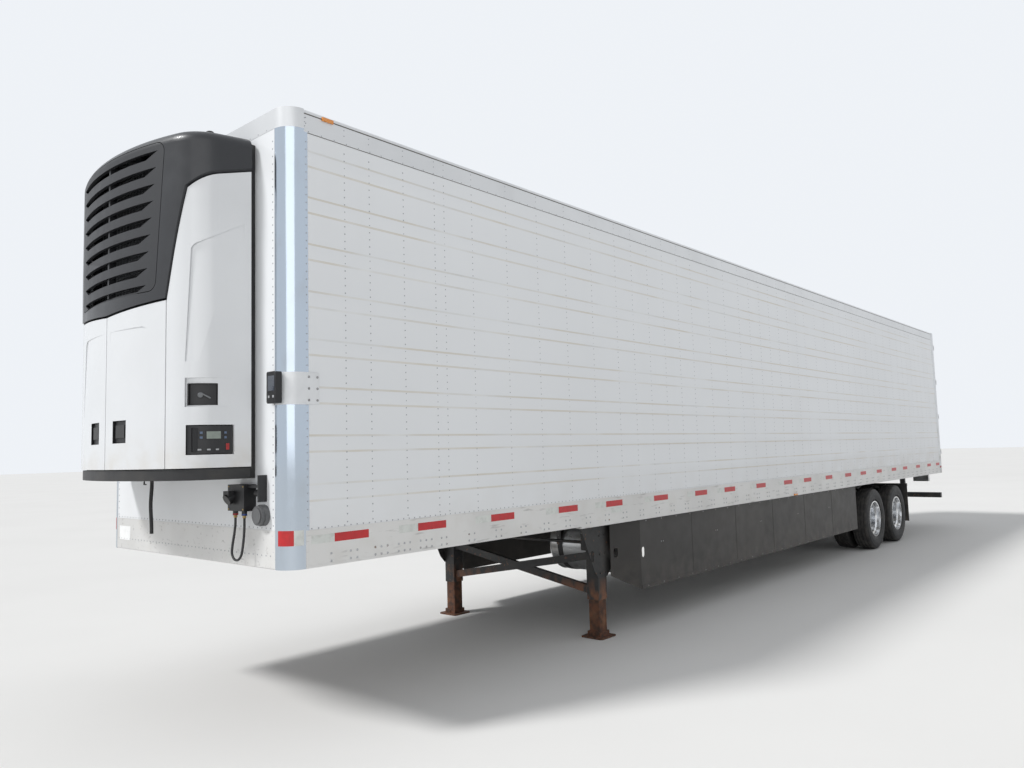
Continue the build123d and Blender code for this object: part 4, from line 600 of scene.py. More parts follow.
# Bottom rails: white extrusions with a rub strip along each edge, bolted to the cross members.
# Red and white reflecting tape runs along them in short pieces, a little worn.
rail_face_y = half_width - 0.002
red_front_setbacks = [0.354, 1.079, 1.853, 2.724, 3.453, 4.317, 5.188, 5.90, 6.78, 7.65]
red_front_setbacks += [8.35, 9.20, 10.05, 10.785, 11.64, 12.5, 13.21, 14.1, 14.93, 15.62]
bolt_setbacks = [0.327, 0.481, 0.535, 0.688, 0.741, 0.795, 0.895, 0.948, 1.0, 1.10, 1.156, 1.21]
bolt_setbacks += [1.309, 1.36, 1.6, 1.66]
member_pitch = 0.305
flange_bolts_apart = 0.062
next_member = 1.907
while next_member < wall_length - 0.1:
    bolt_setbacks += [next_member, next_member + flange_bolts_apart]
    next_member += member_pitch
rail_bolt = coated("rail_bolt", (0.42, 0.43, 0.44), 0.4, 0.8, patch=0.1)
rail_bolt.blotch(0.06, 0.6, 0.7, (0.20, 0.12, 0.07))
rail_bolt_head = (0.0085, 0.0045)
rail_bolt_zs = (1.203, 1.154)
tape_out_y = rail_face_y + 0.0008
red_length = 0.279
white_length = 0.178
for side, label in sides:
    tapes = Mould()
    y = (side * rail_face_y, side * tape_out_y)
    for front in red_front_setbacks:
        tapes.block((aft(front), aft(front + red_length)), y, tape_z, 0)
        tapes.block((aft(front - white_length), aft(front - 0.001)), y, tape_z, 1)
    tapes.make(f"rail_tape_{label}", [tape_red, tape_white], "trailer", "lamp_lens")
    bolts = Mould()
    for setback in bolt_setbacks:
        places = [(aft(setback), side * rail_face_y, z) for z in rail_bolt_zs]
        bolts.heads(places, (0, side, 0), *rail_bolt_head)
    bolts.make(f"rail_bolts_{label}", [rail_bolt], "trailer", "hardware_steel", soft=20)
plate_out_y = rail_face_y + 0.0012
plate_z = (1.215, 1.262)
plate_pin = (0.004, 0.0015)
blank_plate = Mould().block((aft(3.53), aft(3.72)), (rail_face_y, plate_out_y), plate_z)
plate_pins = [(aft(setback), plate_out_y, sum(plate_z) / 2) for setback in (3.545, 3.705)]
blank_plate.heads(plate_pins, (0, 1, 0), *plate_pin)
blank_plate.make("blank_plate", [tape_white], "trailer", "rail_aluminium")

# Top rails and nose cap: white extrusions with thin lips. Dark strips in the joint below the
# rail and along its top edge are painted shade under the lips.
cap_white = coated("cap_white", (0.68, 0.69, 0.70), 0.38, 0.35, patch=0.5, wear=0.5)
coat_node(cap_white, "top_rails", "nose_top_rail")
# These thin dark blocks are painted shade under the rail's lips.
painted_lip_shade = coated("painted_lip_shade", (0.12, 0.11, 0.10), 0.7, patch=0.1)
lip_shade_x = (aft(corner_radius + 0.002), body_rear_x)
low_line_z = (top_rail_low_z - 0.004, top_rail_low_z)
high_line_z = (roof_top_z - 0.033, roof_top_z - 0.0265)
lip_shade_lines = Mould()
for side in (-1, 1):
    low_line_y = (side * (half_width - 0.0025), side * (half_width - 0.0003))
    lip_shade_lines.block(lip_shade_x, low_line_y, low_line_z)
    high_line_y = (side * (half_width - 0.0022), side * (half_width - 0.0006))
    lip_shade_lines.block(lip_shade_x, high_line_y, high_line_z)
lip_shade_lines.make("lip_shade_lines", [painted_lip_shade], "trailer", "rubber")
small_rivet = (0.0045, 0.002)
cap_rivet_pitch = 0.102
lip_z = top_rail_low_z + 0.007
lip_count = int((wall_length - 0.2) / cap_rivet_pitch)
cap_rivets = Mould()
for side in (-1, 1):
    web_y = side * (half_width - 0.002)
    places = row((aft(0.17), side * half_width, lip_z), (-cap_rivet_pitch, 0, 0), lip_count)
    for setback in post_setbacks:
        places += [(aft(setback), web_y, top_rail_low_z + rise) for rise in (0.06, 0.10)]
    places += row((aft(0.141), web_y, nose_cap_low_z + 0.02), (0, 0, 0.028), 3)
    cap_rivets.heads(places, (0, side, 0), *small_rivet)
cap_count = int(2 * (half_width - corner_radius) / cap_rivet_pitch)
first_y = -cap_rivet_pitch * (cap_count - 1) / 2
places = row((nose_x, first_y, nose_cap_low_z + 0.012), (0, cap_rivet_pitch, 0), cap_count)
cap_rivets.heads(places, (1, 0, 0), *small_rivet)
cap_rivets.make("cap_rivets", [rivet_grey], "trailer", "rail_aluminium")

# Marker lamps: small moulded lenses pressed on to their bases, amber along the sides and red at
# the rear, each over a finely ribbed reflector.
amber_lens = coated("amber_lens", (0.80, 0.28, 0.03), 0.2, coat=0.6, patch=0.03)
ribs = amber_lens.add("TexWave", {"Vector": amber_lens.place, "Scale": 60.0}, bands_direction="X")
amber_lens.relief(ribs.outputs["Fac"], 0.0008)
red_over = amber_lens.band(amber_lens.along("X"), -8.0, -8.05)
amber_lens.tint(red_over, (0.45, 0.012, 0.012))
coat_node(amber_lens, "marker_lamps")

# Rear frame: folded stainless posts, header and sill round the door opening, welded at the
# corners and riveted to the walls, with red and white tape across the sill and header.
stainless = coated("stainless", (0.56, 0.57, 0.58), 0.3, 1.0, patch=0.4, grain=0.002, depth=0.00005)
brushed = stainless.mottle(0.003, 2.0, (1.0, 1.0, 0.03))
stainless.relief(brushed, 0.00005)
splash = stainless.band(stainless.mottle(0.2, 5.0), 0.42, 0.7)
splash = stainless.times(splash, stainless.band(stainless.along("Z"), 2.4, 1.1, 0.1, 0.9))
stainless.tint(splash, (0.27, 0.25, 0.22))
coat_node(stainless, "rear_posts", "rear_header", "rear_sill")
frame_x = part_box("rear_door_left")[0].x
header_low_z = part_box("rear_door_left")[1].z + 0.003
sill_low_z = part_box("bottom_rails")[0].z - 0.018
rear_tape = Mould()
tape_x = (frame_x - 0.0008, frame_x)
sill_tape_z = (1.236, 1.284)
post_tape_z = (3.70, 3.98)
header_tape_z = (header_low_z + 0.012, header_low_z + 0.05)
header_tape_ys = (0.93, 1.21)
post_tape_ys = (1.218, 1.26)
tape_pieces = 8
tape_start_y = -1.18
tape_pitch = 0.295
tape_gap = 0.0002
for part in range(tape_pieces):
    left_y = tape_start_y + part * tape_pitch
    rear_tape.block(tape_x, (left_y, left_y + tape_pitch - tape_gap), sill_tape_z, part % 2)
for side in (-1, 1):
    rear_tape.block(tape_x, [side * y for y in header_tape_ys], header_tape_z, 1)
    rear_tape.block(tape_x, [side * y for y in post_tape_ys], post_tape_z, 1)
rear_tape.make("rear_tape", [tape_red, tape_white], "trailer", "lamp_lens")
frame_rivet_pitch = 0.1
post_rivets, header_rivets = 26, 24
post_rivet_foot_z = 1.45
header_rivet_start_y = -1.15
frame_rivets = Mould()
for side in (-1, 1):
    foot = (frame_x + 0.09, side * half_width, post_rivet_foot_z)
    upright = row(foot, (0, 0, frame_rivet_pitch), post_rivets)
    frame_rivets.heads(upright, (0, side, 0), *wall_rivet)
for z in (roof_top_z - 0.012, sill_low_z + 0.032):
    level_row = row((frame_x, header_rivet_start_y, z), (0, frame_rivet_pitch, 0), header_rivets)
    frame_rivets.heads(level_row, (-1, 0, 0), *wall_rivet)
frame_rivets.make("frame_rivets", [rivet_grey], "trailer", "stainless")

# Rear doors: foam-filled leaves in white sheet, a rubber seal gripped round each edge by a
# riveted strip, a bright kick plate at the foot and plain white skins inside.
door_white = coated("door_white", (0.80, 0.81, 0.82), 0.36, coat=0.15, patch=1.5, wear=0.35)
door_dirt = door_white.band(door_white.along("Z"), 2.6, 1.4)
door_dirt = door_white.times(door_dirt, door_white.band(door_white.mottle(0.2, 5.0), 0.4, 0.75))
door_white.tint(door_white.times(door_dirt, 0.6), (0.52, 0.49, 0.44))
coat_node(door_white, "rear_door_left", "rear_door_right")
seal_rubber = coated("seal_rubber", (0.022, 0.022, 0.023), 0.6, patch=0.1, grain=0.002)
door_low, door_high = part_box("rear_door_left")
door_low_z, door_high_z = door_low.z, door_high.z
seal_width = 0.024
seal_proud = 0.003
hair_gap = 0.0001
kick_z = (door_low_z + 0.03, door_low_z + 0.19)
kick_face_x = frame_x - 0.001
edge_to_rivets = 0.034
level_rivet_start, level_rivet_pitch, level_rivets = 0.06, 0.0985, 12
upright_rivet_start, upright_rivet_pitch, upright_rivets = 0.25, 0.1, 23
for side, label in sides:
    body = f"swing_door_{label}"
    near, far = side * door_low.y, side * door_high.y
    seal_x = (frame_x - seal_proud, frame_x)
    across = (near + side * (seal_width + hair_gap), far - side * (seal_width + hair_gap))
    seal = Mould()
    seal.block(seal_x, (near, near + side * seal_width), (door_low_z, door_high_z))
    seal.block(seal_x, (far - side * seal_width, far), (door_low_z, door_high_z))
    seal.block(seal_x, across, (door_low_z, door_low_z + seal_width))
    seal.block(seal_x, across, (door_high_z - seal_width, door_high_z))
    seal.make(f"door_seal_{label}", [seal_rubber], body, "rubber", 0.001)
    kick_y = (near + side * 0.03, far - side * 0.03)
    kick = Mould().block((kick_face_x, frame_x), kick_y, kick_z)
    kick.make(f"kick_plate_{label}", [stainless], body, "stainless", 0.0004)
    door_rivets = Mould()
    for z in (door_low_z + 0.035, door_low_z + 0.185, door_high_z - edge_to_rivets):
        first = (kick_face_x, side * level_rivet_start, z)
        places = row(first, (0, side * level_rivet_pitch, 0), level_rivets)
        door_rivets.heads(places, (-1, 0, 0), *small_rivet)
    for y in (near + side * edge_to_rivets, far - side * edge_to_rivets):
        first = (frame_x, y, door_low_z + upright_rivet_start)
        places = row(first, (0, 0, upright_rivet_pitch), upright_rivets)
        door_rivets.heads(places, (-1, 0, 0), *small_rivet)
    door_rivets.make(f"door_rivets_{label}", [rivet_grey], body, "white_panel")

# Door hardware: galvanised hinge straps and lock rods with forged cams, run through bolted
# guides, their handles held down by catches.
zinc = coated("zinc", (0.47, 0.48, 0.49), 0.38, 1.0, patch=0.08, grain=0.003)
zinc.blotch(0.05, 0.54, 0.75, (0.32, 0.31, 0.29), 5.0)
coat_node(zinc, "door_hardware_left", "door_hardware_right")
hinge_zs = (1.560, 2.3067, 3.0533, 3.800)
hinge_bolt_ys = (0.92, 1.0, 1.08, 1.15)
hinge_bolt = (0.008, 0.0045)
guide_zs = (1.490, 2.270, 3.245, 3.865)
guide_bolt = (0.0055, 0.0035)
rod_ys = (0.330, 0.820)
rod_x = frame_x - 0.026
handle_z = 1.945
grip_span = (0.125, 0.245)
grip_half = 0.017
catch_span = (0.262, 0.278)
catch_half = 0.026
dull_steel = coated("dull_steel", (0.30, 0.30, 0.30), 0.45, 0.9, patch=0.05)
dull_steel.blotch(0.03, 0.5, 0.8, (0.17, 0.12, 0.09), 4.0)
for side, label in sides:
    body = f"swing_door_{label}"
    fixings = Mould()
    for z in hinge_zs:
        places = [(frame_x - 0.01, side * y, z + rise) for y in hinge_bolt_ys for rise in (-0.016, 0.016)]
        fixings.heads(places, (-1, 0, 0), *hinge_bolt)
    for z in guide_zs:
        for rod_y in rod_ys:
            places = [(rod_x - 0.017, side * (rod_y + offset), z) for offset in (-0.021, 0.021)]
            fixings.heads(places, (-1, 0, 0), *guide_bolt)
    fixings.make(f"door_bolts_{label}", [dull_steel], body, "hardware_steel", soft=20)
    grips = Mould()
    grip_z = (handle_z - grip_half, handle_z + grip_half)
    catch_z = (handle_z - catch_half, handle_z + catch_half)
    for rod_y in rod_ys:
        grip_y = [side * (rod_y + offset) for offset in grip_span]
        grips.block((rod_x - 0.0065, rod_x + 0.0065), grip_y, grip_z)
        catch_y = [side * (rod_y + offset) for offset in catch_span]
        grips.block((rod_x - 0.012, rod_x - 0.0048), catch_y, catch_z)
    grips.make(f"handle_grips_{label}", [seal_rubber], body, "rubber", 0.003)

# Rear bumpers and guard: rubber dock bumpers bolted through, and a welded black steel guard
# with red and white tape along its beam.
coat_node(seal_rubber, "dock_bumpers")
guard_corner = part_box("underride_guard")[0]
frame_black = coated("frame_black", (0.022, 0.022, 0.023), 0.45, 0.0, 0.1, patch=0.3, grain=0.003)
frame_black.blotch(0.3, 0.44, 0.75, (0.065, 0.058, 0.050), 6.0)
frame_black.blotch(0.06, 0.63, 0.70, (0.14, 0.062, 0.03), 5.0)
coat_node(frame_black, "underride_guard")
guard_tape = Mould()
beam_tape_x = (guard_corner.x - 0.0008, guard_corner.x)
beam_tape_z = (guard_corner.z + 0.028, guard_corner.z + 0.076)
beam_tape_start_y = -1.2
beam_tape_pitch = 0.3
for part in range(tape_pieces):
    left_y = beam_tape_start_y + part * beam_tape_pitch
    guard_tape.block(beam_tape_x, (left_y, left_y + beam_tape_pitch - tape_gap), beam_tape_z, part % 2)
guard_tape.make("guard_tape", [tape_red, tape_white], "trailer", "lamp_lens")


# Tail lamps: round red lenses in the sill's boxes, gripped by black rubber rims. Two rings of
# diodes show through each lens as brighter spots.
def circle(centre, across, radius, count, phase=0.0):
    """Places evenly round an upright circle that is laid out along the level line `across`."""
    x, y, z = centre
    places = []
    for step in range(count):
        turn = 2 * pi * (step + phase) / count
        out = radius * cos(turn)
        places.append((x + across[0] * out, y + across[1] * out, z + radius * sin(turn)))
    return places


lens_red = coated("lens_red", (0.40, 0.008, 0.010), 0.12, coat=1.0, patch=0.02, grain=0.003)
lamp_rim = coated("lamp_rim", (0.03, 0.03, 0.03), 0.5, patch=0.05)
lamp_glow = coated("lamp_glow", (0.62, 0.10, 0.09), 0.15, coat=1.0, patch=0.02)
box_rear_x = frame_x + 0.018
diode_x = frame_x - 0.002
lamp_ys = (-0.975, -0.825, 0.825, 0.975)
lamp_z = 1.0195
lamp_ring = [(0.002, 0.0522), (0.005, 0.0556), (0.012, 0.0556), (0.014, 0.0522)]
diode = (0.0055, 0.0016, 10)
diode_rings = ((0.014, 4), (0.034, 10))
tail_lamps = Mould()
for y in lamp_ys:
    tail_lamps.turned(lamp_ring, (box_rear_x, y, lamp_z), (-1, 0, 0), 40, 1)
    for radius, count in diode_rings:
        diodes = circle((diode_x, y, lamp_z), (0, 1, 0), radius, count)
        tail_lamps.heads(diodes, (-1, 0, 0), *diode, 2)
tail_lamps.make("tail_lamps", [lens_red, lamp_rim, lamp_glow], "trailer", "lamp_lens")

# Cooling unit covers: glossy white moulded skins over a black frame, under a charcoal shroud
# that rolls over the top. Their gaps are dark, and faint road film lies along the foot.
cover_white = coated("cover_white", (0.70, 0.712, 0.725), 0.22, coat=0.5, patch=0.8, depth=0.0001, wear=0.4)
film = cover_white.band(cover_white.along("Z"), 2.05, 1.76)
splashes = cover_white.band(cover_white.mottle(0.15, 5.0), 0.40, 0.75, 0.1, 0.8)
film = cover_white.times(film, splashes)
cover_white.tint(film, (0.60, 0.57, 0.52))
coat_node(cover_white, "unit_door_left", "unit_door_right", "unit_side_left", "unit_side_right")
shroud_grey = coated("shroud_grey", (0.017, 0.018, 0.021), 0.36, coat=0.1, patch=0.6, grain=0.002)
chalk = shroud_grey.band(shroud_grey.mottle(0.25, 5.0), 0.45, 0.8, 0.0, 0.7)
shroud_grey.tint(chalk, (0.030, 0.032, 0.036))
coat_node(shroud_grey, "unit_shroud")
unit_black = coated("unit_black", (0.015, 0.015, 0.016), 0.5, 0.0, 0.0, patch=0.3, grain=0.002)
unit_black.blotch(0.2, 0.5, 0.8, (0.045, 0.042, 0.038), 5.0)
coat_node(unit_black, "unit_frame", "engine_block")
breather_foot = (nose_x + 0.20, 0.70, 3.970)
breather_pipe = [(-0.001, 0.016), (0.040, 0.016)]
breather_hood = [(0.034, 0.0275), (0.058, 0.0275), (0.064, 0.022)]
breather = Mould()
breather.turned(breather_pipe, breather_foot, (0, 0, 1), 20)
breather.turned(breather_hood, breather_foot, (0, 0, 1), 28)
breather.make("unit_breather", [unit_black], "trailer", "black_steel", 0.001, 30)
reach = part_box("unit_shroud")[1].x - nose_x
bow_radius = 2.300
bow_half = half_width - 0.580
turn_x, turn_y, turn_radius = 0.17715, 0.62534, 0.30245
side_start_x = 0.045
side_half = half_width - 0.330
side_end_x, side_end_y = 0.25032, 0.91881
side_slope = (side_end_y - side_half) / (side_end_x - side_start_x)
side_inset_share = 0.9703


def cover_x(y, inset):
    """How far ahead of the nose the covers' front lies at a given Y."""
    if abs(y) <= bow_half:
        return reach - bow_radius + sqrt((bow_radius - inset) ** 2 - y * y)
    return turn_x + sqrt((turn_radius - inset) ** 2 - (abs(y) - turn_y) ** 2)


def cover_y(x, inset):
    """How far from the middle the covers' side lies at a distance ahead of the nose."""
    if x < side_end_x:
        return side_half + side_slope * (x - side_start_x) - inset / side_inset_share
    return turn_y + sqrt((turn_radius - inset) ** 2 - (x - turn_x) ** 2)


def front_plate(mould, y, outer, inner, z, pick=0):
    """A plate that follows the bowed front between two insets."""
    ys = [y[0] + (y[1] - y[0]) * step / 8 for step in range(9)]
    outline = [(nose_x + cover_x(place, outer), place, 0) for place in ys]
    outline += [(nose_x + cover_x(place, inner), place, 0) for place in reversed(ys)]
    return mould.drawn(outline, (0, 0, z[0]), (0, 0, z[1]), pick)


def side_plate(mould, side, x, outer, inner, z, pick=0):
    """A plate that follows the rounded side between two insets."""
    xs = [x[0] + (x[1] - x[0]) * step / 10 for step in range(11)]
    outline = [(nose_x + place, side * cover_y(place, outer), 0) for place in xs]
    outline += [(nose_x + place, side * cover_y(place, inner), 0) for place in reversed(xs)]
    return mould.drawn(outline, (0, 0, z[0]), (0, 0, z[1]), pick)


# Latches: black moulded pockets sunk in the covers, a flat paddle in each front door and a
# turned lever in each side panel.
latch_black = coated("latch_black", (0.012, 0.012, 0.013), 0.42, patch=0.05, grain=0.001)
lever_grey = coated("lever_grey", (0.16, 0.165, 0.17), 0.3, 0.6, patch=0.05)
wall = 0.0014
wall_end = wall + hair_gap
front_wall_insets = (0.0112, 0.0264)
front_back_insets = (0.0262, 0.0278)
side_wall_insets = (0.0150, 0.0284)
side_back_insets = (0.0282, 0.0298)
paddle_insets = (0.0165, 0.0225)
paddle_z = (1.985, 2.070)
boss_x, boss_z = 0.335, 2.235
boss_inset = 0.029
boss_lean = 0.45
boss_shape = [(0, 0.017), (0.010, 0.017), (0.012, 0.014)]
lever_inset = 0.021
lever_radius = 0.0052
for side, label in sides:
    pocket = Mould()
    near, far = side * 0.1105, side * 0.2795
    low, high = 1.9505, 2.0995
    front_plate(pocket, (near, far), *front_back_insets, (low, high))
    for y in (near, far - side * wall):
        front_plate(pocket, (y, y + side * wall), *front_wall_insets, (low, high))
    for z in (low, high - wall):
        across = (near + side * wall_end, far - side * wall_end)
        front_plate(pocket, across, *front_wall_insets, (z, z + wall))
    paddle_y = (side * 0.140, side * 0.250)
    front_plate(pocket, paddle_y, *paddle_insets, paddle_z, 1)
    pocket.make(f"door_latch_{label}", [latch_black, lamp_rim], f"unit_front_{label}", "panel_face", 0.0006)
    pocket = Mould()
    near, far = 0.2465, 0.3945
    low, high = 2.1715, 2.3095
    side_plate(pocket, side, (near, far), *side_back_insets, (low, high))
    for x in (near, far - wall):
        side_plate(pocket, side, (x, x + wall), *side_wall_insets, (low, high))
    for z in (low, high - wall):
        side_plate(pocket, side, (near + wall_end, far - wall_end), *side_wall_insets, (z, z + wall))
    boss = (nose_x + boss_x, side * cover_y(boss_x, boss_inset), boss_z)
    pocket.turned(boss_shape, boss, (boss_lean, side, 0), 24, 1)
    tip_x = boss_x - 0.050
    root = (nose_x + boss_x, side * cover_y(boss_x, lever_inset), boss_z + 0.012)
    tip = (nose_x + tip_x, side * cover_y(tip_x, lever_inset), boss_z - 0.020)
    pocket.bar(root, tip, lever_radius, 10, 1)
    body = f"unit_corner_{label}"
    pocket.make(f"side_latch_{label}", [latch_black, lever_grey], body, "panel_face", 0.0006)

# Control panel: a black moulded face with a dull green display under clear film, soft rubber
# keys in grey and blue, and a red rocker switch.
panel_black = coated("panel_black", (0.010, 0.010, 0.011), 0.35, patch=0.05, grain=0.002)
coat_node(panel_black, "control_panel")
display_green = coated("display_green", (0.20, 0.235, 0.20), 0.12, coat=1.0, patch=0.03, depth=0.00002)
key_blue = coated("key_blue", (0.10, 0.14, 0.22), 0.45, patch=0.02, grain=0.002)
key_pale = coated("key_pale", (0.38, 0.39, 0.40), 0.45, patch=0.02, grain=0.002)
rocker_red = coated("rocker_red", (0.35, 0.02, 0.02), 0.4, patch=0.02, grain=0.002)
window_front_x = 0.407
window_foot_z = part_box("control_panel")[0].z
key_insets = (0.0158, 0.0172)
panel_parts = (
    # behind the window's front edge, above its foot, width, height, finish
    (0.062, 0.098, 0.020, 0.020, 1),
    (0.062, 0.128, 0.020, 0.020, 1),
    (0.094, 0.094, 0.092, 0.058, 0),
    (0.198, 0.098, 0.020, 0.020, 1),
    (0.198, 0.128, 0.020, 0.020, 1),
    (0.052, 0.024, 0.024, 0.016, 2),
    (0.100, 0.024, 0.024, 0.016, 2),
    (0.148, 0.024, 0.024, 0.016, 2),
    (0.208, 0.026, 0.026, 0.046, 3),
)
keys = Mould()
for behind, above, wide, tall, pick in panel_parts:
    trim = 0.003 if pick else 0.006
    front = window_front_x - behind - trim
    low = window_foot_z + above + trim
    span = (front - wide + 2 * trim, front)
    side_plate(keys, 1, span, *key_insets, (low, low + tall - 2 * trim), pick)
keys.make("panel_keys", [display_green, key_blue, key_pale, rocker_red], "trailer", "panel_face", 0.0003)

# Grille: one moulded panel of slots between bars. Behind it slanted blades lie over a welded
# wire guard and the finned coil.
grille_grey = coated("grille_grey", (0.020, 0.021, 0.024), 0.48, patch=0.4, grain=0.002)
coat_node(grille_grey, "condenser_grille")
coil_dark = coated("coil_dark", (0.030, 0.031, 0.033), 0.4, 0.6, patch=0.3)
fins = coil_dark.add("TexWave", {"Vector": coil_dark.place, "Scale": 90.0}, bands_direction="Y")
coil_dark.relief(fins.outputs["Fac"], 0.001)
coat_node(coil_dark, "condenser_coil")
wire_grey = coated("wire_grey", (0.115, 0.12, 0.125), 0.4, 0.4, patch=0.1)
wire_x = nose_x + 0.407
wire_low_z, wire_high_z = 2.82, 3.85
wire_half = 0.50
wire_pitch = 0.05
wire_radius = 0.0016
wire_guard = Mould()
for step in range(21):
    y = -wire_half + step * wire_pitch
    wire_guard.bar((wire_x, y, wire_low_z), (wire_x, y, wire_high_z), wire_radius, 6)
for step in range(21):
    z = wire_low_z + 0.015 + step * wire_pitch
    wire_guard.bar((wire_x + 0.003, -wire_half, z), (wire_x + 0.003, wire_half, z), wire_radius, 6)
wire_guard.make("wire_guard", [wire_grey], "trailer", "black_steel")

# Nose fittings: black connector box and couplings, a round grey document holder, and a
# temperature display in a black case on a plate bent round the corner post.
coat_node(latch_black, "nose_connectors")
holder_grey = coated("holder_grey", (0.11, 0.112, 0.115), 0.5, patch=0.1)
coat_node(holder_grey, "document_holder")
bracket_metal = coated("bracket_metal", (0.72, 0.73, 0.74), 0.32, 0.2, patch=0.2)
case_mask = bracket_metal.band(bracket_metal.along("X"), nose_x + 0.0030, nose_x + 0.0032)
bracket_metal.tint(case_mask, (0.015, 0.015, 0.016))
coat_node(bracket_metal, "display_bracket")
screen_glass = coated("screen_glass", (0.045, 0.055, 0.075), 0.08, coat=1.0, patch=0.02, grain=0.003)
case_x = nose_x + 0.048
screen_y = (1.160, 1.235)
screen_z = (2.250, 2.345)
key_half = 0.008
key_z = (2.205, 2.221)
screen = Mould()
screen.block((case_x, case_x + 0.0015), screen_y, screen_z, 0)
for y in (1.172, 1.2225):
    screen.block((case_x, case_x + 0.002), (y - key_half, y + key_half), key_z, 1)
screen.make("display_face", [screen_glass, key_pale], "trailer", "panel_face", 0.0006)
bracket_face_y = half_width + 0.003
bracket_bolt = (0.009, 0.005)
places = [(aft(setback), bracket_face_y, z) for setback in (0.160, 0.225) for z in (2.19, 2.265, 2.34)]
bracket_bolts = Mould().heads(places, (0, 1, 0), *bracket_bolt)
bracket_bolts.make("bracket_bolts", [dull_steel], "trailer", "hardware_steel", soft=20)
brass = coated("brass", (0.42, 0.30, 0.12), 0.35, 1.0, patch=0.03)
coupling_red = coated("coupling_red", (0.30, 0.02, 0.02), 0.5, patch=0.03)
coupling_blue = coated("coupling_blue", (0.02, 0.05, 0.20), 0.5, patch=0.03)
coupling_x = nose_x + 0.055
collar = [(0, 0.0178), (0.01, 0.0178)]
hose_nut = [(0, 0.0125), (0.014, 0.0125), (0.016, 0.0095)]
connector_screw = (0.006, 0.003, 8)
fittings = Mould()
for y, pick in ((left_coupling_y, 0), (right_coupling_y, 1)):
    fittings.turned(collar, (coupling_x, y, coupling_foot_z + 0.012), (0, 0, -1), 24, pick)
    fittings.turned(hose_nut, (coupling_x, y, coupling_foot_z), (0, 0, -1), 6, 2)
places = [(nose_x + 0.085, y, z) for y in (0.752, 0.928) for z in (1.502, 1.648)]
fittings.heads(places, (1, 0, 0), *connector_screw, 2)
fittings.make("nose_fittings", [coupling_red, coupling_blue, brass], "trailer", "hardware_steel")

# Landing gear: square steel legs in black paint, worn to rust where they slide and round the
# feet, hung from bolted wing plates and tied by crossed braces.
leg_black = coated("leg_black", (0.018, 0.018, 0.018), 0.5, 0.0, 0.0, patch=0.2, grain=0.003)
leg_black.blotch(0.25, 0.45, 0.75, (0.040, 0.036, 0.032), 5.0)
rust_low = leg_black.band(leg_black.along("Z"), 0.58, 0.42)
rust_patch = leg_black.band(leg_black.mottle(0.09, 6.0, (1, 1, 0.5)), 0.42, 0.58)
rust_here = leg_black.times(rust_low, rust_patch)
speckle = leg_black.band(leg_black.mottle(0.04, 5.0), 0.64, 0.70, 0.0, 0.5)
rust_here = leg_black.reckon("MAXIMUM", rust_here, speckle)
leg_black.tint(rust_here, (0.185, 0.074, 0.032))
coat_node(leg_black, "landing_legs", "leg_braces", "landing_crank")
rusty = coated("rusty", (0.135, 0.055, 0.028), 0.8, patch=0.1, grain=0.004, depth=0.0006)
rusty.blotch(0.05, 0.42, 0.62, (0.055, 0.030, 0.020), 6.0)
rusty.blotch(0.14, 0.55, 0.75, (0.20, 0.095, 0.048), 5.0)
coat_node(rusty, "landing_feet")
leg_x = aft(3.68)
wing_outer_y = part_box("landing_legs")[1].y
wing_bolt_z = 1.088
wing_bolt_dxs = (-0.29, -0.19, -0.09, 0.09, 0.19, 0.29)
leg_bolt_zs = (0.62, 0.80, 0.98)
leg_inner_y = 0.857
brace_bolt_zs = (0.842, 0.972)
wing_bolt = (0.011, 0.009)
brace_bolt = (0.008, 0.006)
leg_bolts = Mould()
for side in (-1, 1):
    places = [(leg_x + dx, side * wing_outer_y, wing_bolt_z) for dx in wing_bolt_dxs]
    places += [(leg_x + dx, side * wing_outer_y, z) for dx in (-0.045, 0.045) for z in leg_bolt_zs]
    leg_bolts.heads(places, (0, side, 0), *wing_bolt)
    places = [(leg_x + dx, side * leg_inner_y, z) for dx in (-0.042, 0.042) for z in brace_bolt_zs]
    leg_bolts.heads(places, (0, -side, 0), *brace_bolt)
leg_bolts.make("leg_bolts", [leg_black], "trailer", "leg_steel", soft=20)
pin_shape = [(0, 0.014), (0.006, 0.014), (0.009, 0.010)]
pin_half, pin_y, pin_z = 0.076, 0.997, 0.036
foot_pins = Mould()
for side in (-1, 1):
    for end in (-1, 1):
        foot_pins.turned(pin_shape, (leg_x + end * pin_half, side * pin_y, pin_z), (end, 0, 0), 12)
foot_pins.make("foot_pins", [rusty], "trailer", "rusty_steel")

# Fuel tank: rolled aluminium with a weld bead round each end and one along its underside,
# strapped up in black steel, with a black filler cap.
tank_metal = coated("tank_metal", (0.58, 0.59, 0.60), 0.3, 1.0, patch=0.25, grain=0.002, depth=0.00005)
tank_metal.relief(tank_metal.mottle(0.004, 2.0, (1.0, 0.03, 1.0)), 0.00008)
tank_metal.blotch(0.22, 0.46, 0.75, (0.30, 0.28, 0.25), 5.0)
coat_node(tank_metal, "fuel_tank")
coat_node(frame_black, "fuel_tank_straps")
tank_x = aft(4.42)
tank_z = 0.80
tank_radius = 0.300
tank_end_ys = (0.086, 0.764)
weld_metal = coated("weld_metal", (0.40, 0.40, 0.40), 0.45, 1.0, patch=0.02, grain=0.004, depth=0.0008)
bead_top = tank_radius + 0.0022
bead_root = tank_radius - 0.001
end_bead = [(-0.006, bead_root), (-0.003, bead_top), (0.003, bead_top), (0.006, bead_root)]
tank_welds = Mould()
for y in tank_end_ys:
    tank_welds.turned(end_bead, (tank_x, y, tank_z), (0, 1, 0), 72)
seam_z = (tank_z - 0.302, tank_z - 0.298)
tank_welds.block((tank_x - 0.004, tank_x + 0.004), (0.09, 0.76), seam_z)
tank_welds.make("tank_welds", [weld_metal], "trailer", "tank_aluminium")
filler_y = 0.73
filler_turn = radians(40)
lean = Vector((sin(filler_turn), 0, cos(filler_turn)))
filler_foot = Vector((tank_x, filler_y, tank_z)) + lean * (tank_radius + 0.016)
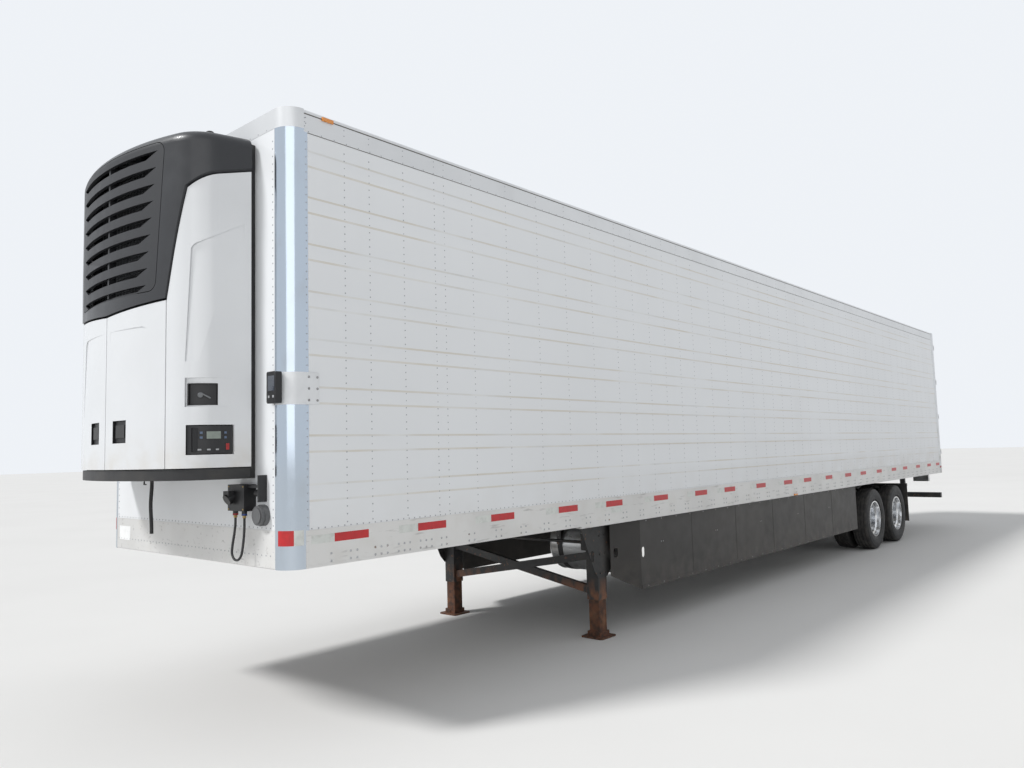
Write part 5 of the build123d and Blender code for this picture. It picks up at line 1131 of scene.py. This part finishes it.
cap_shape = [(0, 0.0435), (0.018, 0.0435), (0.0295, 0.041), (0.031, 0.036)]
filler = Mould().turned(cap_shape, filler_foot, lean, 30)
filler.make("filler_cap", [latch_black], "trailer", "black_steel", soft=20)
strap_ys = (0.21, 0.64)
strap_half, strap_bolt_z = 0.32, 0.90
strap_bolt = (0.010, 0.009)
strap_bolts = Mould()
for y in strap_ys:
    for end in (-1, 1):
        strap_bolts.heads([(tank_x + end * strap_half, y, strap_bolt_z)], (end, 0, 0), *strap_bolt)
strap_bolts.make("strap_bolts", [dull_steel], "trailer", "hardware_steel", soft=20)

# Side skirts: flat dark composite panels, joined by flat strips and screwed to sprung struts,
# with a flexible lip along the foot. Dried spray greys them, most of all along the bottom.
skirt_dark = coated("skirt_dark", (0.024, 0.0215, 0.019), 0.5, patch=0.8, grain=0.006)
skirt_dust = skirt_dark.band(skirt_dark.mottle(0.9, 5.0, (0.5, 1, 1.6)), 0.38, 0.75, 0.0, 0.9)
skirt_dark.tint(skirt_dust, (0.041, 0.036, 0.031))
low_spray = skirt_dark.band(skirt_dark.along("Z"), 0.75, 0.40)
low_spray = skirt_dark.times(low_spray, skirt_dark.band(skirt_dark.mottle(0.12, 5.0), 0.35, 0.7))
skirt_dark.tint(low_spray, (0.066, 0.058, 0.049))
coat_node(skirt_dark, "side_skirts")
skirt_face_y = half_width - 0.050
skirt_front, skirt_rear = 4.10, 10.63
skirt_length = skirt_rear - skirt_front
joint_count = 5
joint_half = 0.025
strip_skin = 0.002
strip_z = (0.453, 1.105)
lip_skin = 0.003
lip_z = (0.4155, 0.452)
screw_pitch = 0.305
rail_screw_z, strut_screw_z, lip_screw_z = 1.085, 0.847, 0.434
skirt_screw = (0.008, 0.004, 8)
for side, label in sides:
    face_y = side * skirt_face_y
    strips = Mould()
    lip_y = (side * (skirt_face_y - 0.0005), side * (skirt_face_y + lip_skin))
    strips.block((aft(skirt_front + 0.01), aft(skirt_rear)), lip_y, lip_z)
    for part in range(1, joint_count + 1):
        setback = skirt_front + part * skirt_length / (joint_count + 1)
        strip_x = (aft(setback - joint_half), aft(setback + joint_half))
        strips.block(strip_x, (face_y, side * (skirt_face_y + strip_skin)), strip_z)
    strips.make(f"skirt_strips_{label}", [skirt_dark], "trailer", "skirt_panel", 0.0006)
    places = []
    for step in range(int(skirt_length / screw_pitch)):
        setback = skirt_front + 0.12 + step * screw_pitch
        places.append((aft(setback), face_y, rail_screw_z))
        places.append((aft(setback), side * (skirt_face_y + lip_skin), lip_screw_z))
        if step % 4 == 1:
            places += [(aft(setback + dx), face_y, strut_screw_z) for dx in (-0.02, 0.02)]
    screws = Mould().heads(places, (0, side, 0), *skirt_screw)
    screws.make(f"skirt_screws_{label}", [dull_steel], "trailer", "hardware_steel")

# Bogie: black welded steel on two slide rails, dusty all over, with rubber air springs over
# the trailing arms and clamped brake chambers ahead of each axle.
coat_node(frame_black, "slide_rails", "bogie_frame", "trailing_arms", "axles")
spring_rubber = coated("spring_rubber", (0.020, 0.020, 0.020), 0.6, patch=0.1)
spring_rubber.blotch(0.06, 0.45, 0.8, (0.075, 0.07, 0.062), 5.0)
coat_node(spring_rubber, "air_springs")
axle_xs = {"front": aft(11.50), "rear": aft(12.75)}
axle_z = 0.508
chamber_clamp = [(-0.013, 0.0805), (-0.009, 0.087), (0.009, 0.087), (0.013, 0.0805)]
chamber_ahead, chamber_y, chamber_rise = 0.190, 0.325, 0.060
bogie_bolt = (0.010, 0.008)
shield_y = 0.714
shield_bolt_circle = 0.17
spring_behind, spring_y, spring_top_z = 0.395, 0.48, 0.9255
bogie_fixings = Mould()
for x in axle_xs.values():
    for side in (-1, 1):
        chamber = (x + chamber_ahead, side * chamber_y, axle_z + chamber_rise)
        bogie_fixings.turned(chamber_clamp, chamber, (0, side, 0), 40)
        shield = (x, side * shield_y, axle_z)
        places = circle(shield, (1, 0, 0), shield_bolt_circle, 8, 0.5)
        bogie_fixings.heads(places, (0, side, 0), *bogie_bolt)
        spring_x = x - spring_behind
        places = [(spring_x + dx, side * spring_y, spring_top_z) for dx in (-0.06, 0.06)]
        bogie_fixings.heads(places, (0, 0, 1), *bogie_bolt)
bogie_fixings.make("bogie_fixings", [dull_steel], "trailer", "hardware_steel", soft=20)

# Mud flaps: plain black rubber sheets bolted under a flat bar to arms of the bogie, with mud
# dried on them.
flap_rubber = coated("flap_rubber", (0.020, 0.020, 0.021), 0.6, patch=0.2)
mud = flap_rubber.band(flap_rubber.mottle(0.12, 6.0, (1, 1, 0.5)), 0.42, 0.75)
mud = flap_rubber.times(mud, flap_rubber.band(flap_rubber.along("Z"), 0.9, 0.3, 0.2, 0.9))
flap_rubber.tint(mud, (0.17, 0.145, 0.115))
flap_ribs = flap_rubber.add("TexWave", {"Vector": flap_rubber.place, "Scale": 8.0}, bands_direction="Y")
flap_rubber.relief(flap_ribs.outputs["Fac"], 0.0015)
coat_node(flap_rubber, "mud_flaps")
flap_rear_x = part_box("mud_flaps")[0].x
bar_face_x = flap_rear_x - 0.004
bar_ends = (0.70, 1.28)
bar_z = (0.965, 1.003)
flap_bolt = (0.009, 0.006)
flap_bolt_start_y, flap_bolt_pitch, flap_bolt_z = 0.74, 0.1, 0.984
flap_bars = Mould()
for side in (-1, 1):
    flap_bars.block((bar_face_x, flap_rear_x), [side * y for y in bar_ends], bar_z)
    first = (bar_face_x, side * flap_bolt_start_y, flap_bolt_z)
    places = row(first, (0, side * flap_bolt_pitch, 0), 6)
    flap_bars.heads(places, (-1, 0, 0), *flap_bolt)
flap_bars.make("flap_bars", [frame_black], "trailer", "black_steel", soft=20)

# Tyres: ribbed trailer tread with four grooves, small notches round the shoulders and moulded
# rings on plain sidewalls. The tread is scuffed grey and the sidewalls have browned.
tyre_black = Finish("tyre_black", (0.013, 0.013, 0.014), 0.62)
tyre_black.blotch(0.14, 0.42, 0.75, (0.034, 0.031, 0.027), 5.0)
tyre_black.shine(tyre_black.mottle(0.03, 4.0), 0.52, 0.8)
tyre_black.relief(tyre_black.mottle(0.003, 3.0), 0.0004)
tread_grey = Finish("tread_grey", (0.028, 0.0275, 0.027), 0.8)
tread_grey.blotch(0.08, 0.40, 0.75, (0.075, 0.069, 0.062), 5.0)
tread_grey.relief(tread_grey.mottle(0.004, 3.0), 0.0005)
tread_grey.shine(tread_grey.mottle(0.05), 0.7, 0.9)
tyre_radius = axle_z
tyre_steps = 96
twin_ys = (1.152, 0.816)
groove_half = 0.0045
groove_depth = 0.011
zigzag = 0.0022
crown_half = 0.108
crown_drop = 0.007
sidewall_arc = ((0.3098, 0.1195), (0.400, 0.143), (0.484, 0.124))
notch_depth = 0.006


def crown(offset):
    """The tread's radius at an offset from its middle."""
    return tyre_radius - 0.0004 - crown_drop * (offset / crown_half) ** 2


def bulge(radius):
    """How far the sidewall stands out at a radius, on an arc through bead, bulge and shoulder."""
    total = -0.0012
    for here, out in sidewall_arc:
        for other, _ in sidewall_arc:
            if other != here:
                out *= (radius - other) / (here - other)
        total += out
    return total


def tyre_ring(turn_index):
    """One cross-section of a tyre as (offset, radius, is tread) from bead to bead."""
    shift = zigzag if turn_index % 2 else -zigzag
    notch = notch_depth if turn_index % 3 == 0 else 0.0
    half = [(-0.1045, 0.2864, 0), (-0.1045, 0.2980, 0)]
    for radius, rise in (
        (0.3105, 0),
        (0.326, 0),
        (0.328, 0.0012),
        (0.336, 0.0012),
        (0.338, 0),
        (0.365, 0),
        (0.395, 0),
        (0.425, 0),
        (0.452, 0),
        (0.454, 0.001),
        (0.460, 0.001),
        (0.462, 0),
        (0.474, 0),
    ):
        half.append((-(bulge(radius) + rise), radius, 0))
    half.append((-0.1236, 0.4836 - notch, 1))
    half.append((-0.1085, 0.5003 - notch * 0.6, 1))
    half.append((-0.101, crown(0.101), 1))
    tread = []
    for groove in (-0.078, -0.027, 0.027, 0.078):
        middle = groove + (shift if abs(groove) < 0.05 else shift * 0.5)
        for edge, down in ((-1.25, 0), (-0.8, 1), (0.8, 1), (1.25, 0)):
            place = middle + edge * groove_half
            tread.append((place, crown(place) - down * groove_depth, 1))
    return half + tread + [(-offset, radius, mark) for offset, radius, mark in reversed(half)]


marks = [mark for offset, radius, mark in tyre_ring(0)]
ring_size = len(marks)
tyre_faces = []
tyre_picks = []
for step in range(tyre_steps):
    here = step * ring_size
    after = (step + 1) % tyre_steps * ring_size
    for index in range(ring_size):
        beyond = (index + 1) % ring_size
        tyre_faces.append((here + index, here + beyond, after + beyond, after + index))
        tyre_picks.append(marks[index] * marks[beyond])
for axle, centre_x in axle_xs.items():
    for side, label in sides:
        tyres = Mould()
        for middle_y in twin_ys:
            points = []
            for step in range(tyre_steps):
                turn = 2 * pi * step / tyre_steps
                for offset, radius, mark in tyre_ring(step):
                    x, z = centre_x + radius * cos(turn), axle_z + radius * sin(turn)
                    points.append((x, side * middle_y + offset, z))
            tyres.add(points, tyre_faces)
        tyres.picks = tyre_picks * 2
        finishes = [tyre_black, tread_grey]
        made = tyres.make(f"tread_tyres_{axle}_{label}", finishes, f"twin_{axle}_{label}", "tyre", soft=38)
        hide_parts(f"tyres_{axle}_{label}")

# Wheels: forged aluminium twins, polished outside, on a hub with ten studs. The oil cap is
# held by six small bolts, and a valve stem stands out of one hand hole.
wheel_alloy = Finish("wheel_alloy", (0.72, 0.73, 0.745), 0.12, 1.0)
wheel_alloy.shine(wheel_alloy.mottle(0.08, 4.0), 0.07, 0.26)
wheel_alloy.relief(wheel_alloy.mottle(0.05, 2.0), 0.0004)
wheel_grime = wheel_alloy.band(wheel_alloy.mottle(0.09, 6.0), 0.50, 0.72, 0.0, 0.85)
wheel_alloy.tint(wheel_grime, (0.34, 0.32, 0.29))
inboard = wheel_alloy.band(wheel_alloy.reckon("ABSOLUTE", wheel_alloy.along("Y")), 0.955, 0.93)
wheel_alloy.tint(inboard, (0.075, 0.070, 0.064))
coat_node(wheel_alloy, *[f"wheels_{axle}_{label}" for axle in axle_xs for side, label in sides])
nut_chrome = coated("nut_chrome", (0.62, 0.63, 0.64), 0.2, 1.0, patch=0.02)
hub_face_y = 1.160
disc_face_y = 1.006
stud_circle = 0.1429
flange_nut = [(0, 0.024), (0.005, 0.024), (0.0055, 0.0195), (0.028, 0.0185)]
stud_end = [(0.028, 0.0105), (0.040, 0.0105), (0.042, 0.009)]
cap_bolt_circle = 0.056
cap_bolt = (0.0075, 0.006, 6)
cap_rim = [(-0.001, 0.040), (0.004, 0.040), (0.006, 0.036)]
cap_plug = [(0.006, 0.027), (0.0075, 0.026)]
stem_circle = 0.213
stem_angle = pi / 10
stem_foot_y = 1.0
stem_length = 0.055
stem_radius = 0.0048
stem_cap = [(0, 0.0062), (0.016, 0.0062), (0.018, 0.005)]
for axle, centre_x in axle_xs.items():
    for side, label in sides:
        out = (0, side, 0)
        nuts = Mould()
        disc = (centre_x, side * (disc_face_y - 0.001), axle_z)
        for foot in circle(disc, (1, 0, 0), stud_circle, 10):
            nuts.turned(flange_nut, foot, out, 6, 0)
            nuts.turned(stud_end, foot, out, 12, 1)
        hub = (centre_x, side * hub_face_y, axle_z)
        nuts.heads(circle(hub, (1, 0, 0), cap_bolt_circle, 6, 0.5), out, *cap_bolt, 1)
        nuts.turned(cap_rim, hub, out, 32, 1)
        nuts.turned(cap_plug, hub, out, 32, 2)
        stem_x = centre_x + stem_circle * cos(stem_angle)
        stem = Vector((stem_x, side * stem_foot_y, axle_z + stem_circle * sin(stem_angle)))
        stem_tip = stem + Vector((0, side * stem_length, 0))
        nuts.bar(stem, stem_tip, stem_radius, 10, 1)
        nuts.turned(stem_cap, stem_tip, out, 12, 2)
        finishes = [nut_chrome, dull_steel, latch_black]
        nuts.make(f"wheel_nuts_{axle}_{label}", finishes, f"twin_{axle}_{label}", "wheel_alloy", soft=22)
